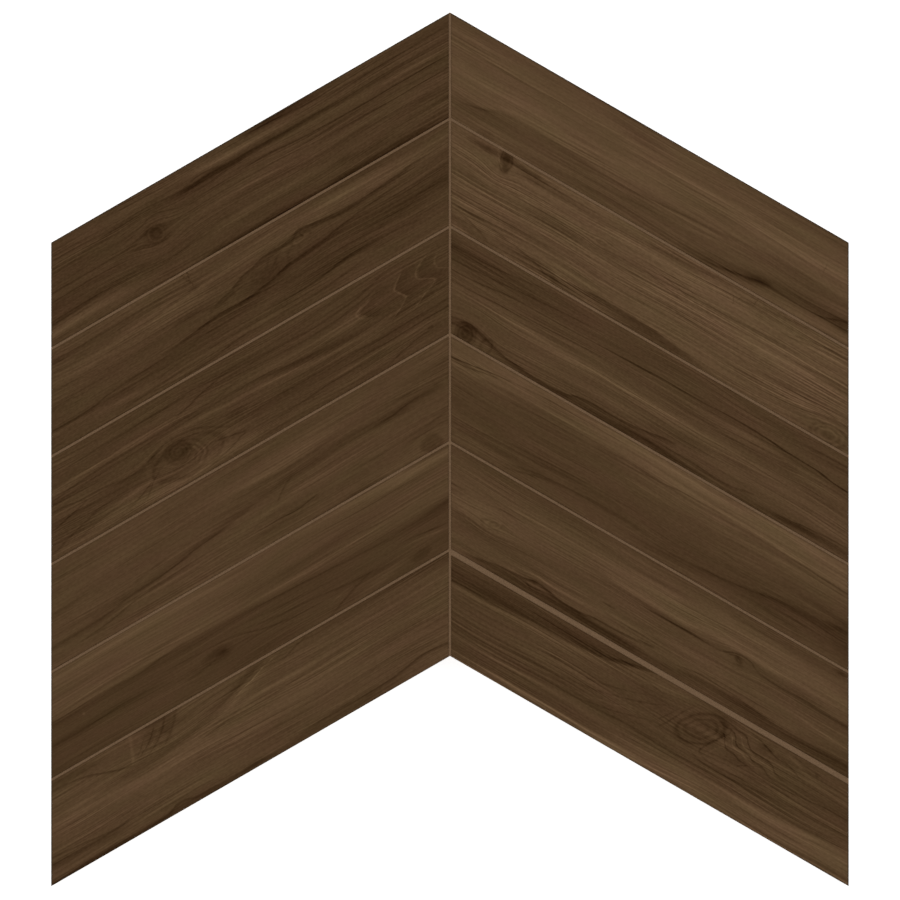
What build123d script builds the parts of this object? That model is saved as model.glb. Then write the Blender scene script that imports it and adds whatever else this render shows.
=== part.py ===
from build123d import *
from math import cos, floor, radians, tan
import os

# A chevron mosaic sheet of wood-look porcelain. Two columns of slanting planks meet in a point at a
# straight centre seam. The joints between them are filled, and a net is bonded over their backs.
# The sheet lies face up with its point towards +Y. The origin is under the middle of its outline.

# Layout of the sheet
rows = 6
plank_slope = 30.0  # degrees that each plank falls away from the centre seam
column_width = 187.4  # from the seam joint to the outer edge of a column, square to the seam
joint_width = 1.2  # between neighbouring planks and along the centre seam
wide_joint_width = 2.5  # the one joint that is laid wider than the rest
wide_joint_row = 5  # it lies below this plank of the right-hand column

# Planks
plank_width = 42.8  # across the grain
plank_thickness = 9.0
arris = 0.4  # small bevel round the printed face

# Keying grooves pressed into the back of each plank, along its length
key_depth = 0.6
key_width = 5.0
key_pitch = 9.0
key_rim = 4.0  # least plain margin beside the outermost groove

# Joint filler and backing net
fill_recess = 0.5  # from the printed faces down to the filler
net_thickness = 0.6
net_inset = 4.0  # from the sheet's outline in to the edge of the net

# A drop is a distance along Y, straight down the seam, from the sheet's upper outline
slope_cos = cos(radians(plank_slope))
slope_tan = tan(radians(plank_slope))
plank_drop = plank_width / slope_cos
joint_drop = joint_width / slope_cos
row_pitch = plank_drop + joint_drop
column_drop = rows * row_pitch - joint_drop
half_width = joint_width / 2 + column_width
point_y = (column_drop + half_width * slope_tan) / 2

left = -1
right = 1
side_names = {left: "left", right: "right"}


def sheet_point(x, drop):
    return (x, point_y - abs(x) * slope_tan - drop)


def plank_drops(side, row):
    # Past the wide joint the planks sit lower, and the last one is cut narrower, so that both
    # columns end together
    upper = (row - 1) * row_pitch
    if side == right and row > wide_joint_row:
        upper += (wide_joint_width - joint_width) / slope_cos
    lower = column_drop if row == rows else upper + plank_drop
    return upper, lower


def plank_corners(side, row):
    upper, lower = plank_drops(side, row)
    seam_x = side * joint_width / 2
    outer_x = side * half_width
    return [
        sheet_point(seam_x, upper),
        sheet_point(outer_x, upper),
        sheet_point(outer_x, lower),
        sheet_point(seam_x, lower),
    ]


def sheet_corners():
    return [
        sheet_point(0, 0),
        sheet_point(half_width, 0),
        sheet_point(half_width, column_drop),
        sheet_point(0, column_drop),
        sheet_point(-half_width, column_drop),
        sheet_point(-half_width, 0),
    ]


def back_plane(side, row):
    # On the middle of a plank's back, with its x along the plank
    upper, lower = plank_drops(side, row)
    middle_x = side * (joint_width + column_width) / 2
    middle_y = sheet_point(middle_x, (upper + lower) / 2)[1]
    return Plane(
        origin=(middle_x, middle_y, net_thickness),
        x_dir=(1, -side * slope_tan, 0),
        z_dir=(0, 0, 1),
    )


def make_plank(side, row):
    upper, lower = plank_drops(side, row)
    own_width = (lower - upper) * slope_cos
    key_count = floor((own_width - 2 * key_rim - key_width) / key_pitch) + 1
    key_length = 2 * (column_width / slope_cos + own_width)  # runs out past both ends
    with BuildPart() as plank:
        with BuildSketch(Plane.XY.offset(net_thickness)):
            with BuildLine():
                Polyline(*plank_corners(side, row), close=True)
            make_face()
        extrude(amount=plank_thickness)
        chamfer(plank.faces().sort_by(Axis.Z)[-1].edges(), length=arris)
        with BuildSketch(back_plane(side, row)):
            with GridLocations(0, key_pitch, 1, key_count):
                Rectangle(key_length, key_width)
        extrude(amount=key_depth, mode=Mode.SUBTRACT)
    plank.part.label = f"plank_{side_names[side]}_{row}"
    return plank


planks = []
for side in (left, right):
    for row in range(1, rows + 1):
        planks.append(make_plank(side, row))

# Joint filler: the centre seam and the slanting joints, out to the sheet's outline
with BuildPart() as joint_fill:
    with BuildSketch(Plane.XY.offset(net_thickness)):
        with BuildLine():
            Polyline(*sheet_corners(), close=True)
        make_face()
        for side in (left, right):
            for row in range(1, rows + 1):
                with BuildLine():
                    Polyline(*plank_corners(side, row), close=True)
                make_face(mode=Mode.SUBTRACT)
    extrude(amount=plank_thickness - fill_recess)
joint_fill.part.label = "joint_fill"

# Backing net, over the backs of all planks and joints and cut a little inside the outline
with BuildPart() as backing_net:
    with BuildSketch(Plane.XY):
        with BuildLine():
            Polyline(*sheet_corners(), close=True)
        make_face()
        offset(amount=-net_inset, kind=Kind.INTERSECTION, mode=Mode.REPLACE)
    extrude(amount=net_thickness)
backing_net.part.label = "backing_net"

os.makedirs("parts", exist_ok=True)
for piece in [*planks, joint_fill, backing_net]:
    export_step(piece.part, f"parts/{piece.part.label}.step")
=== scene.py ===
import bpy
import math
import random
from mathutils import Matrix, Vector


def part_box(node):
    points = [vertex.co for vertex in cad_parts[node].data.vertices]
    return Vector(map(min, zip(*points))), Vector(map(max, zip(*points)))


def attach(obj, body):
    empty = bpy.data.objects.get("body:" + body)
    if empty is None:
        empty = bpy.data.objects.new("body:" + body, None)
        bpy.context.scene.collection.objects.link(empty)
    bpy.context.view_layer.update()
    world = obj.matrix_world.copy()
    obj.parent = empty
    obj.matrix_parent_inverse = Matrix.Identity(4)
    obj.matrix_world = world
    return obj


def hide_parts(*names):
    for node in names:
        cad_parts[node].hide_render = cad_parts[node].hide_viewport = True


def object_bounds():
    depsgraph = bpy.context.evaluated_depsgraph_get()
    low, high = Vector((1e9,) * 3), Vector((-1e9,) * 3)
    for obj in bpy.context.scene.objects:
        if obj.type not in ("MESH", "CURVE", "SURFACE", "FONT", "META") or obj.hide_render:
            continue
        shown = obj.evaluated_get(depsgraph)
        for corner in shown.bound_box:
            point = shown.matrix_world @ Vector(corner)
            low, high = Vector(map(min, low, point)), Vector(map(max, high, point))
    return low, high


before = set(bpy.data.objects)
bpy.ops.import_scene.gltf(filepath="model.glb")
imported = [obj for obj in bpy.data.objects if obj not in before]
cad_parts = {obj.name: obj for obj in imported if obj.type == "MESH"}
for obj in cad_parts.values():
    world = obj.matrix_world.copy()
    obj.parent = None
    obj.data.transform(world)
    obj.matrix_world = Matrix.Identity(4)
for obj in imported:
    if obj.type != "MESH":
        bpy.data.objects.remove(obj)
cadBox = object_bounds()
rootBody = "root"

mm = 0.001
slopeAngle = math.radians(30)
slopeSin = math.sin(slopeAngle)
slopeCos = math.cos(slopeAngle)
slopeTan = math.tan(slopeAngle)
faceHeight = cadBox[1].z
print("sheet loaded,", len(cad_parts), "pieces")


# small helpers for wiring nodes

def feed(tree, socket, value):
    if isinstance(value, bpy.types.NodeSocket):
        tree.links.new(value, socket)
    else:
        socket.default_value = value


def calc(tree, operation, *values):
    node = tree.nodes.new("ShaderNodeMath")
    node.operation = operation
    for socket, value in zip(node.inputs, values):
        feed(tree, socket, value)
    return node.outputs[0]


def total(tree, *values):
    result = values[0]
    for value in values[1:]:
        result = calc(tree, "ADD", result, value)
    return result


def scaled(tree, value, fromLow, fromHigh, toLow=0.0, toHigh=1.0, smooth=False):
    node = tree.nodes.new("ShaderNodeMapRange")
    node.interpolation_type = "SMOOTHSTEP" if smooth else "LINEAR"
    for socket, entry in zip(node.inputs, (value, fromLow, fromHigh, toLow, toHigh)):
        feed(tree, socket, entry)
    return node.outputs["Result"]


def noise(tree, vector, scale=1.0, detail=0.0):
    node = tree.nodes.new("ShaderNodeTexNoise")
    node.inputs["Scale"].default_value = scale
    node.inputs["Detail"].default_value = detail
    feed(tree, node.inputs["Vector"], vector)
    return node.outputs["Fac"]


def stretchedNoise(tree, along, across, alongSize, acrossSize, seed, detail=0.0):
    # noise whose patches are about alongSize by acrossSize
    place = tree.nodes.new("ShaderNodeCombineXYZ")
    feed(tree, place.inputs["X"], calc(tree, "DIVIDE", along, alongSize))
    feed(tree, place.inputs["Y"], calc(tree, "DIVIDE", across, acrossSize))
    feed(tree, place.inputs["Z"], seed)
    return noise(tree, place.outputs[0], detail=detail)


def blended(tree, factor, first, second):
    node = tree.nodes.new("ShaderNodeMix")
    node.data_type = "RGBA"
    feed(tree, node.inputs["Factor"], factor)
    feed(tree, node.inputs["A"], first)
    feed(tree, node.inputs["B"], second)
    return node.outputs["Result"]


def startGroup(name, inputs, outputs):
    # inputs maps a socket's name to its default, outputs maps it to its kind
    group = bpy.data.node_groups.new(name, "ShaderNodeTree")
    for label, value in inputs.items():
        kind = "NodeSocketVector" if isinstance(value, tuple) else "NodeSocketFloat"
        socket = group.interface.new_socket(name=label, in_out="INPUT", socket_type=kind)
        socket.default_value = value
    for label, kind in outputs.items():
        group.interface.new_socket(name=label, in_out="OUTPUT", socket_type="NodeSocket" + kind)
    entry = group.nodes.new("NodeGroupInput")
    leave = group.nodes.new("NodeGroupOutput")
    return group, entry.outputs, leave.inputs


def placeGroup(tree, group, **values):
    node = tree.nodes.new("ShaderNodeGroup")
    node.node_tree = group
    for label, value in values.items():
        feed(tree, node.inputs[label], value)
    return node.outputs


def linearColour(red, green, blue):
    # from the 0 to 255 levels of a colour picker
    def channel(level):
        share = level / 255
        return share / 12.92 if share <= 0.04045 else ((share + 0.055) / 1.055) ** 2.4
    return (channel(red), channel(green), channel(blue), 1.0)


# small helpers for materials

def startMaterial(name, setup):
    material = bpy.data.materials.new(name)
    material.use_nodes = True
    tree = material.node_tree
    shader = tree.nodes["Principled BSDF"]
    for label, entry in (("Base Color", "colour"), ("Roughness", "roughness"),
                         ("Specular IOR Level", "specular")):
        if entry in setup:
            shader.inputs[label].default_value = setup[entry]
    return material, tree, shader


def addRelief(tree, shader, height, setup):
    bump = tree.nodes.new("ShaderNodeBump")
    bump.inputs["Strength"].default_value = setup["reliefStrength"]
    bump.inputs["Distance"].default_value = setup["reliefDepth"]
    feed(tree, bump.inputs["Height"], height)
    tree.links.new(bump.outputs[0], shader.inputs["Normal"])


def coverPiece(name, material):
    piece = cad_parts[name]
    piece.data.materials.clear()
    piece.data.materials.append(material)


# camera, looking straight down on the faces through a long lens

cameraSetup = {
    "lens": 300.0,
    "sensor": 36.0,
    "frameWidth": 424.26 * mm,  # what the picture's width covers at the height of the faces
    "centre": (0.03 * mm, -0.33 * mm),
    "farClip": 4,  # in distances to the faces
}


def makeCamera():
    data = bpy.data.cameras.new("tableCamera")
    data.lens = cameraSetup["lens"]
    data.sensor_width = cameraSetup["sensor"]
    distance = cameraSetup["frameWidth"] * cameraSetup["lens"] / cameraSetup["sensor"]
    data.clip_end = cameraSetup["farClip"] * distance
    camera = bpy.data.objects.new("tableCamera", data)
    camera.location = (*cameraSetup["centre"], faceHeight + distance)
    bpy.context.scene.collection.objects.link(camera)
    bpy.context.scene.camera = camera


# sky, lamps and floor

lightSetup = {
    "skyStrength": 0.35,
    "lamps": [  # place in metres, edge length in metres, power in watts
        ((-1.6, 1.3, 1.7), 1.2, 25.0),
        ((1.6, 1.3, 1.7), 1.2, 25.0),
        ((0.0, -2.0, 1.7), 1.2, 25.0),
    ],
}


def makeLight():
    scene = bpy.context.scene
    scene.view_settings.view_transform = "Standard"
    world = bpy.data.worlds.new("paleStudio")
    scene.world = world
    world.use_nodes = True
    tree = world.node_tree
    tree.nodes.clear()
    sky = tree.nodes.new("ShaderNodeBackground")
    sky.inputs["Color"].default_value = (1, 1, 1, 1)
    path = tree.nodes.new("ShaderNodeLightPath")
    seen = calc(tree, "MAXIMUM", path.outputs["Is Camera Ray"], path.outputs["Is Transmission Ray"])
    feed(tree, sky.inputs["Strength"], scaled(tree, seen, 0, 1, lightSetup["skyStrength"], 1.0))
    leave = tree.nodes.new("ShaderNodeOutputWorld")
    tree.links.new(sky.outputs[0], leave.inputs["Surface"])

    for number, (place, edge, power) in enumerate(lightSetup["lamps"]):
        data = bpy.data.lights.new(f"softLamp{number + 1}", "AREA")
        data.size = edge
        data.energy = power
        lamp = bpy.data.objects.new(data.name, data)
        lamp.location = place
        lamp.rotation_euler = (-Vector(place)).to_track_quat("-Z", "Y").to_euler()
        scene.collection.objects.link(lamp)


floorSetup = {
    "size": 12.0,
    "drop": 0.1 * mm,  # below the sheet's back
    "colour": (0.8, 0.8, 0.8, 1),
    "roughness": 0.9,
    "specular": 0.1,
    "glow": 0.6,  # seen by the camera only
}


def makeFloor():
    half = floorSetup["size"] / 2
    mesh = bpy.data.meshes.new("studioFloor")
    corners = [(-half, -half, 0), (half, -half, 0), (half, half, 0), (-half, half, 0)]
    mesh.from_pydata(corners, [], [(0, 1, 2, 3)])
    floor = bpy.data.objects.new("studioFloor", mesh)
    floor.location.z = -floorSetup["drop"]
    bpy.context.scene.collection.objects.link(floor)
    material, tree, shader = startMaterial("paleFloor", floorSetup)
    shader.inputs["Emission Color"].default_value = (1, 1, 1, 1)
    path = tree.nodes.new("ShaderNodeLightPath")
    glow = calc(tree, "MULTIPLY", path.outputs["Is Camera Ray"], floorSetup["glow"])
    feed(tree, shader.inputs["Emission Strength"], glow)
    # the floor is clear from below and to bounced light, so that the sheet's back shows and is lit
    clear = tree.nodes.new("ShaderNodeBsdfTransparent")
    either = tree.nodes.new("ShaderNodeMixShader")
    geometry = tree.nodes.new("ShaderNodeNewGeometry")
    through = calc(tree, "MAXIMUM", geometry.outputs["Backfacing"], path.outputs["Is Diffuse Ray"])
    feed(tree, either.inputs[0], through)
    tree.links.new(shader.outputs[0], either.inputs[1])
    tree.links.new(clear.outputs[0], either.inputs[2])
    tree.links.new(either.outputs[0], tree.nodes["Material Output"].inputs["Surface"])
    mesh.materials.append(material)


# shader groups for the printed wood
# tones are in the 0 to 255 levels of a colour picker, lengths in millimetres

def makePlankPlace():
    group, given, out = startGroup(
        "plankPlace",
        {"Corner": (0.0, 0.0, 0.0), "Along Direction": (1.0, 0.0, 0.0),
         "Across Direction": (0.0, -1.0, 0.0)},
        {"Along": "Float", "Across": "Float", "Above": "Float"},
    )
    place = group.nodes.new("ShaderNodeTexCoord").outputs["Object"]
    offset = group.nodes.new("ShaderNodeVectorMath")
    offset.operation = "SUBTRACT"
    group.links.new(place, offset.inputs[0])
    group.links.new(given["Corner"], offset.inputs[1])
    for label, direction in (("Along", "Along Direction"), ("Across", "Across Direction")):
        dot = group.nodes.new("ShaderNodeVectorMath")
        dot.operation = "DOT_PRODUCT"
        group.links.new(offset.outputs[0], dot.inputs[0])
        group.links.new(given[direction], dot.inputs[1])
        feed(group, out[label], calc(group, "DIVIDE", dot.outputs["Value"], mm))
    split = group.nodes.new("ShaderNodeSeparateXYZ")
    group.links.new(place, split.inputs[0])
    feed(group, out["Above"], calc(group, "DIVIDE", split.outputs["Z"], mm))
    return group


flowFields = {
    # length and width of a field's patches, step of its seed, the noise's detail, how far it pushes
    "wander": (60.0, 24.0, 0.0, 0.0, 4.0),
    "ripple": (24.0, 8.0, 3.7, 1.0, 0.6),
    "fray": (20.0, 0.6, 8.1, 0.0, 0.35),
    "feather": (24.0, 0.7, 13.9, 1.0, 0.9),
}


def makeGrainFlow():
    # the fibres' own coordinate across the plank, which wanders a little, and frayed coordinates
    # that give drawn lines their uneven edges
    group, given, out = startGroup(
        "grainFlow",
        {"Along": 0.0, "Across": 0.0, "Seed": 0.0, "Meander": 1.0},
        {"Flow": "Float", "Frayed Across": "Float", "Frayed Along": "Float"},
    )
    along, across = given["Along"], given["Across"]

    def push(name):
        length, width, step, detail, reach = flowFields[name]
        field = stretchedNoise(group, along, across, length, width,
                               calc(group, "ADD", given["Seed"], step), detail)
        return scaled(group, field, 0, 1, -reach, reach)

    wander = calc(group, "MULTIPLY", push("wander"), given["Meander"])
    feed(group, out["Flow"], calc(group, "ADD", across, wander))
    feed(group, out["Frayed Across"], total(group, across, push("ripple"), push("fray")))
    feed(group, out["Frayed Along"], calc(group, "ADD", along, push("feather")))
    return group


def makeBend():
    # the fibres part round a knot
    group, given, out = startGroup(
        "bend",
        {"Along": 0.0, "Across": 0.0, "Flow": 0.0, "Middle Along": 0.0, "Middle Across": 0.0,
         "Reach Along": 10.0, "Reach Across": 8.0, "Push": 0.8},
        {"Flow": "Float"},
    )
    aside = calc(group, "SUBTRACT", given["Across"], given["Middle Across"])
    x = calc(group, "SUBTRACT", given["Along"], given["Middle Along"])
    x = calc(group, "DIVIDE", x, given["Reach Along"])
    y = calc(group, "DIVIDE", aside, given["Reach Across"])
    squared = calc(group, "ADD", calc(group, "MULTIPLY", x, x), calc(group, "MULTIPLY", y, y))
    near = calc(group, "EXPONENT", calc(group, "MULTIPLY", squared, -1.0))
    shift = calc(group, "MULTIPLY", calc(group, "MULTIPLY", aside, given["Push"]), near)
    feed(group, out["Flow"], calc(group, "SUBTRACT", given["Flow"], shift))
    return group


grainLayers = {
    # length and width of a layer's patches, step of its seed, the noise's range that is read,
    # the range put out for it, the noise's detail
    "cloud": (32.0, 7.0, 11.3, 0.25, 0.75, -1, 1, 1.0),
    "bands": (90.0, 3.6, 23.9, 0.25, 0.75, -1, 1, 1.0),
    "fibres": (75.0, 1.05, 31.1, 0.25, 0.75, -1, 1, 1.0),
    "hairs": (48.0, 0.5, 37.7, 0.25, 0.75, -1, 1, 0.0),
    "pores": (9.0, 0.42, 47.7, 0.56, 0.8, 0, 1, 0.0),
    "specks": (1.5, 0.7, 53.9, 0.25, 0.75, -1, 1, 0.0),
    "patchy": (40.0, 7.0, 61.7, 0.35, 0.65, 0.5, 1.5, 0.0),
    "rings": (170.0, 8.0, 59.3, 0, 1, 0, 17, 0.0),
    "broken": (30.0, 5.0, 67.1, 0.4, 0.6, 0, 1, 0.0),
}
grainShares = {
    "fibres": 0.4,  # of the fibres' tone, beside the hairs
    "specks": 0.7,  # of the pores' tone
    "lineWidth": 0.24,  # of the distance between two growth lines
    "relief": {"hairs": 0.4, "fibres": 0.4, "pores": -0.9, "lines": -0.5},
}


def makeFibreTone():
    # the even part of the figure: cloudy patches, growth bands, fibres, hair-fine dark pores and
    # thin growth lines
    group, given, out = startGroup(
        "fibreTone",
        {"Along": 0.0, "Across": 0.0, "Flow": 0.0, "Seed": 0.0,
         "Cloud": 3.0, "Bands": 3.0, "Fibres": 3.0, "Pores": 2.0, "Lines": 3.0},
        {"Tone": "Float", "Streaks": "Float", "Relief": "Float"},
    )
    along, flow = given["Along"], given["Flow"]

    def layer(name, across=flow):
        length, width, step, low, high, start, end, detail = grainLayers[name]
        field = stretchedNoise(group, along, across, length, width,
                               calc(group, "ADD", given["Seed"], step), detail)
        return scaled(group, field, low, high, start, end)

    def product(*values):
        result = values[0]
        for value in values[1:]:
            result = calc(group, "MULTIPLY", result, value)
        return result

    fibres, hairs, pores, patchy = (layer(name) for name in ("fibres", "hairs", "pores", "patchy"))
    specks = product(layer("specks", given["Across"]), grainShares["specks"])
    lines = calc(group, "PINGPONG", layer("rings"), 1.0)
    lines = product(scaled(group, lines, 0.0, grainShares["lineWidth"], 1.0, 0.0), layer("broken"))
    feed(group, out["Tone"], total(
        group,
        product(layer("cloud", given["Across"]), given["Cloud"]),
        product(layer("bands"), given["Bands"]),
        product(fibres, patchy, product(given["Fibres"], grainShares["fibres"])),
        product(hairs, patchy, given["Fibres"]),
        product(calc(group, "SUBTRACT", specks, pores), given["Pores"]),
        product(lines, given["Lines"], -1.0),
    ))
    feed(group, out["Streaks"], fibres)
    raised = {"hairs": hairs, "fibres": fibres, "pores": pores, "lines": lines}
    feed(group, out["Relief"], total(
        group, *(product(raised[name], share) for name, share in grainShares["relief"].items())))
    return group


def makeStroke():
    # a stroke of darker or lighter wood along a drawn path, with its own width on either side
    group, given, out = startGroup(
        "stroke",
        {"Across": 0.0, "Path": 0.0, "Tone": 0.0, "Above": 1.0, "Below": 1.0, "Streaks": 0.0,
         "Streaky": 0.35},
        {"Tone": "Float"},
    )
    aside = calc(group, "SUBTRACT", given["Across"], given["Path"])
    below = calc(group, "DIVIDE", aside, given["Below"])
    above = calc(group, "DIVIDE", calc(group, "MULTIPLY", aside, -1.0), given["Above"])
    mask = scaled(group, calc(group, "MAXIMUM", below, above), 0.0, 1.0, 1.0, 0.0, smooth=True)
    strength = calc(group, "ADD", calc(group, "MULTIPLY", given["Streaks"], given["Streaky"]), 1.0)
    tone = calc(group, "MULTIPLY", calc(group, "MULTIPLY", mask, strength), given["Tone"])
    feed(group, out["Tone"], tone)
    return group


ringSetup = {
    "bumps": (5.0, 3.6),  # length and width of the bumps in an uneven ring
    "swing": 2,  # of the ring's share at unevenness 1
}


def makeRingField():
    # distance from the middle of a knot or a patch, as a turned oval with an uneven rim
    group, given, out = startGroup(
        "ringField",
        {"Along": 0.0, "Across": 0.0, "Middle Along": 0.0, "Middle Across": 0.0,
         "Turn": 0.0, "Length": 4.0, "Width": 3.0, "Uneven": 0.15, "Seed": 0.0},
        {"Distance": "Float"},
    )
    x = calc(group, "SUBTRACT", given["Along"], given["Middle Along"])
    y = calc(group, "SUBTRACT", given["Across"], given["Middle Across"])
    cosine = calc(group, "COSINE", given["Turn"])
    sine = calc(group, "SINE", given["Turn"])
    lengthwise = calc(group, "ADD", calc(group, "MULTIPLY", x, cosine),
                      calc(group, "MULTIPLY", y, sine))
    sideways = calc(group, "SUBTRACT", calc(group, "MULTIPLY", y, cosine),
                    calc(group, "MULTIPLY", x, sine))
    lengthwise = calc(group, "DIVIDE", lengthwise, given["Length"])
    sideways = calc(group, "DIVIDE", sideways, given["Width"])
    squared = calc(group, "ADD", calc(group, "MULTIPLY", lengthwise, lengthwise),
                   calc(group, "MULTIPLY", sideways, sideways))
    rim = stretchedNoise(group, x, y, *ringSetup["bumps"], given["Seed"])
    rim = scaled(group, rim, 0, 1, -ringSetup["swing"], ringSetup["swing"])
    uneven = calc(group, "MULTIPLY", rim, given["Uneven"])
    feed(group, out["Distance"], calc(group, "ADD", calc(group, "SQRT", squared), uneven))
    return group


printSetup = {
    "tones": (20, 95),
    "darkest": (33, 19, 6),  # in colour-picker levels, at the first tone
    "lightest": (115, 91, 66),
    "steps": 15,  # between them on the colour ramp
    "sheen": 0.0028,  # what the matt glaze itself adds to every colour, taken off the print's
    "least": 0.001,
}
hueSetup = {  # patches in which the print turns a little redder or greener
    "patches": (30.0, 8.0),
    "step": 71.0,
    "span": (0.2, 0.8),
    "red": (0.96, 1.04),
    "green": (1.02, 0.98),
    "blue": (0.95, 1.05),
}


def printColour(share):
    # even in colour-picker levels from the darkest print to the lightest
    ends = zip(printSetup["darkest"], printSetup["lightest"])
    red, green, blue, alpha = linearColour(*(dark + (light - dark) * share for dark, light in ends))
    glazed = (max(part - printSetup["sheen"], printSetup["least"]) for part in (red, green, blue))
    return (*glazed, alpha)


def makeWoodColour():
    group, given, out = startGroup(
        "woodColour",
        {"Along": 0.0, "Across": 0.0, "Seed": 0.0, "Tone": 60.0},
        {"Colour": "Color"},
    )
    ramp = group.nodes.new("ShaderNodeValToRGB")
    stops = ramp.color_ramp.elements
    for number in range(1, printSetup["steps"]):
        stops.new(number / printSetup["steps"])
    for stop in stops:
        stop.color = printColour(stop.position)
    feed(group, ramp.inputs[0], scaled(group, given["Tone"], *printSetup["tones"]))
    step = calc(group, "ADD", given["Seed"], hueSetup["step"])
    patches = stretchedNoise(group, given["Along"], given["Across"], *hueSetup["patches"], step,
                             detail=2.0)
    hue = scaled(group, patches, *hueSetup["span"])
    tint = group.nodes.new("ShaderNodeMix")
    tint.data_type = "RGBA"
    tint.blend_type = "MULTIPLY"
    tint.inputs["Factor"].default_value = 1.0
    group.links.new(ramp.outputs["Color"], tint.inputs["A"])
    shade = group.nodes.new("ShaderNodeCombineColor")
    for socket, channel in zip(shade.inputs, ("red", "green", "blue")):
        feed(group, socket, scaled(group, hue, 0, 1, *hueSetup[channel]))
    group.links.new(shade.outputs[0], tint.inputs["B"])
    feed(group, out["Colour"], tint.outputs["Result"])
    return group


porcelainSetup = {
    "body": linearColour(150, 133, 114),
    "bodySpeck": linearColour(112, 96, 80),
    "printEnds": (0.75, 0.6),  # below the face, where the print wraps over the edge and stops
    "rim": linearColour(57, 46, 34),  # painted shade: the print darker and greyer at the sheet's outline, where the outward bevel would be in shade
    "edgeShadeSpan": (186.6, 187.1),  # from the seam, square to it, where the painted edge shade starts and is full
    "topEdgeShadeSpan": (0.7, 0.3),  # the painted edge shade, from the upper edge of the first planks
    "edgeShadeShare": 0.85,
    "roughnessSpan": (0.62, 0.72),
    "specular": 0.05,
    "reliefStrength": 0.25,
    "reliefDepth": 0.05 * mm,
    "speckScale": 3.5,  # per millimetre
    "speckSpan": (0.55, 0.72),
    "fineRelief": 0.6,  # beside the coarse relief of sides and back
    "waver": 0.12,  # of the line where the print ends
    "waverSpan": (0.3, 0.7),
}


def makePorcelainBody():
    # the unprinted sides and back, and where the print ends
    group, given, out = startGroup(
        "porcelainBody",
        {"Above": 0.0, "Face Height": 9.6},
        {"Printed": "Float", "Body Colour": "Color", "Relief": "Float"},
    )
    grown = group.nodes.new("ShaderNodeVectorMath")
    grown.operation = "SCALE"
    grown.inputs["Scale"].default_value = 1 / mm
    group.links.new(group.nodes.new("ShaderNodeTexCoord").outputs["Object"], grown.inputs[0])
    coarse = noise(group, grown.outputs[0], detail=3.0)
    waver = porcelainSetup["waver"]
    edge = scaled(group, coarse, *porcelainSetup["waverSpan"], -waver, waver)
    edge = calc(group, "ADD", given["Above"], edge)
    start, end = (calc(group, "SUBTRACT", given["Face Height"], depth)
                  for depth in porcelainSetup["printEnds"])
    feed(group, out["Printed"], scaled(group, edge, start, end))
    fine = noise(group, grown.outputs[0], porcelainSetup["speckScale"], detail=2.0)
    specks = scaled(group, fine, *porcelainSetup["speckSpan"])
    colour = blended(group, specks, porcelainSetup["body"], porcelainSetup["bodySpeck"])
    feed(group, out["Body Colour"], colour)
    fine = calc(group, "MULTIPLY", fine, porcelainSetup["fineRelief"])
    feed(group, out["Relief"], calc(group, "ADD", fine, coarse))
    return group


groups = {
    "place": makePlankPlace(),
    "flow": makeGrainFlow(),
    "bend": makeBend(),
    "fibre": makeFibreTone(),
    "stroke": makeStroke(),
    "ring": makeRingField(),
    "colour": makeWoodColour(),
    "body": makePorcelainBody(),
}
print("shader groups made")


def drawnCurve(tree, share, points, low, high):
    # a smooth curve through the points, as a node
    # share runs from 0 to 1 over the points' first values
    start, end = points[0][0], points[-1][0]
    node = tree.nodes.new("ShaderNodeFloatCurve")
    curve = node.mapping.curves[0]
    for number, (x, y) in enumerate(points):
        spot = ((x - start) / (end - start), (y - low) / (high - low))
        if number < 2:
            curve.points[number].location = spot
        else:
            curve.points.new(*spot)
    for point in curve.points:
        point.handle_type = "AUTO"
    node.mapping.update()
    feed(tree, node.inputs["Value"], share)
    return scaled(tree, node.outputs[0], 0, 1, low, high)


strokeSetup = {
    "plain": 1.0,
    "fine": 0.35,  # divided by a stroke's width, so that thin lines are printed stronger
    "strokeTone": 60,  # the largest change of tone that a curve can hold
    "knotTone": 40,
    "pathRoom": 5,  # above and below a path's points
}
usualMeander = 0.6  # of the fibres
usualUneven = 0.05  # of a knot's rings


def addStroke(tree, stroke, run, side, streaks):
    # how far it fades before and after its path, then the path's points: where along its run,
    # where aside, and the change of tone there, which is 0 where it is left out
    widthBefore, widthAfter, path = stroke
    path = [(*point, 0)[:3] for point in path]
    gain = strokeSetup["plain"] + strokeSetup["fine"] / (widthBefore + widthAfter)
    share = scaled(tree, run, path[0][0], path[-1][0])
    places = [(x, y) for x, y, tone in path]
    tones = [(x, tone * gain) for x, y, tone in path]
    room, most = strokeSetup["pathRoom"], strokeSetup["strokeTone"]
    line = drawnCurve(tree, share, places, min(y for x, y in places) - room,
                      max(y for x, y in places) + room)
    strength = drawnCurve(tree, share, tones, -most, most)
    return placeGroup(tree, groups["stroke"], Across=side, Path=line, Tone=strength,
                      Above=widthBefore, Below=widthAfter, Streaks=streaks)["Tone"]


def addKnot(tree, knot, along, across, seed):
    # size is its half length and half width, rings the change of tone by share of the size,
    # fade the stretch along the plank over which it comes in
    distance = placeGroup(
        tree, groups["ring"], **{
            "Along": along, "Across": across,
            "Middle Along": knot["at"][0], "Middle Across": knot["at"][1],
            "Turn": math.radians(knot.get("turn", 0)),
            "Length": knot["size"][0], "Width": knot["size"][1],
            "Uneven": knot.get("uneven", usualUneven), "Seed": seed,
        })["Distance"]
    rings, most = knot["rings"], strokeSetup["knotTone"]
    share = scaled(tree, distance, rings[0][0], rings[-1][0])
    tone = drawnCurve(tree, share, rings, -most, most)
    if "fade" in knot:
        tone = calc(tree, "MULTIPLY", tone, scaled(tree, along, *knot["fade"], smooth=True))
    return tone


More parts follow.
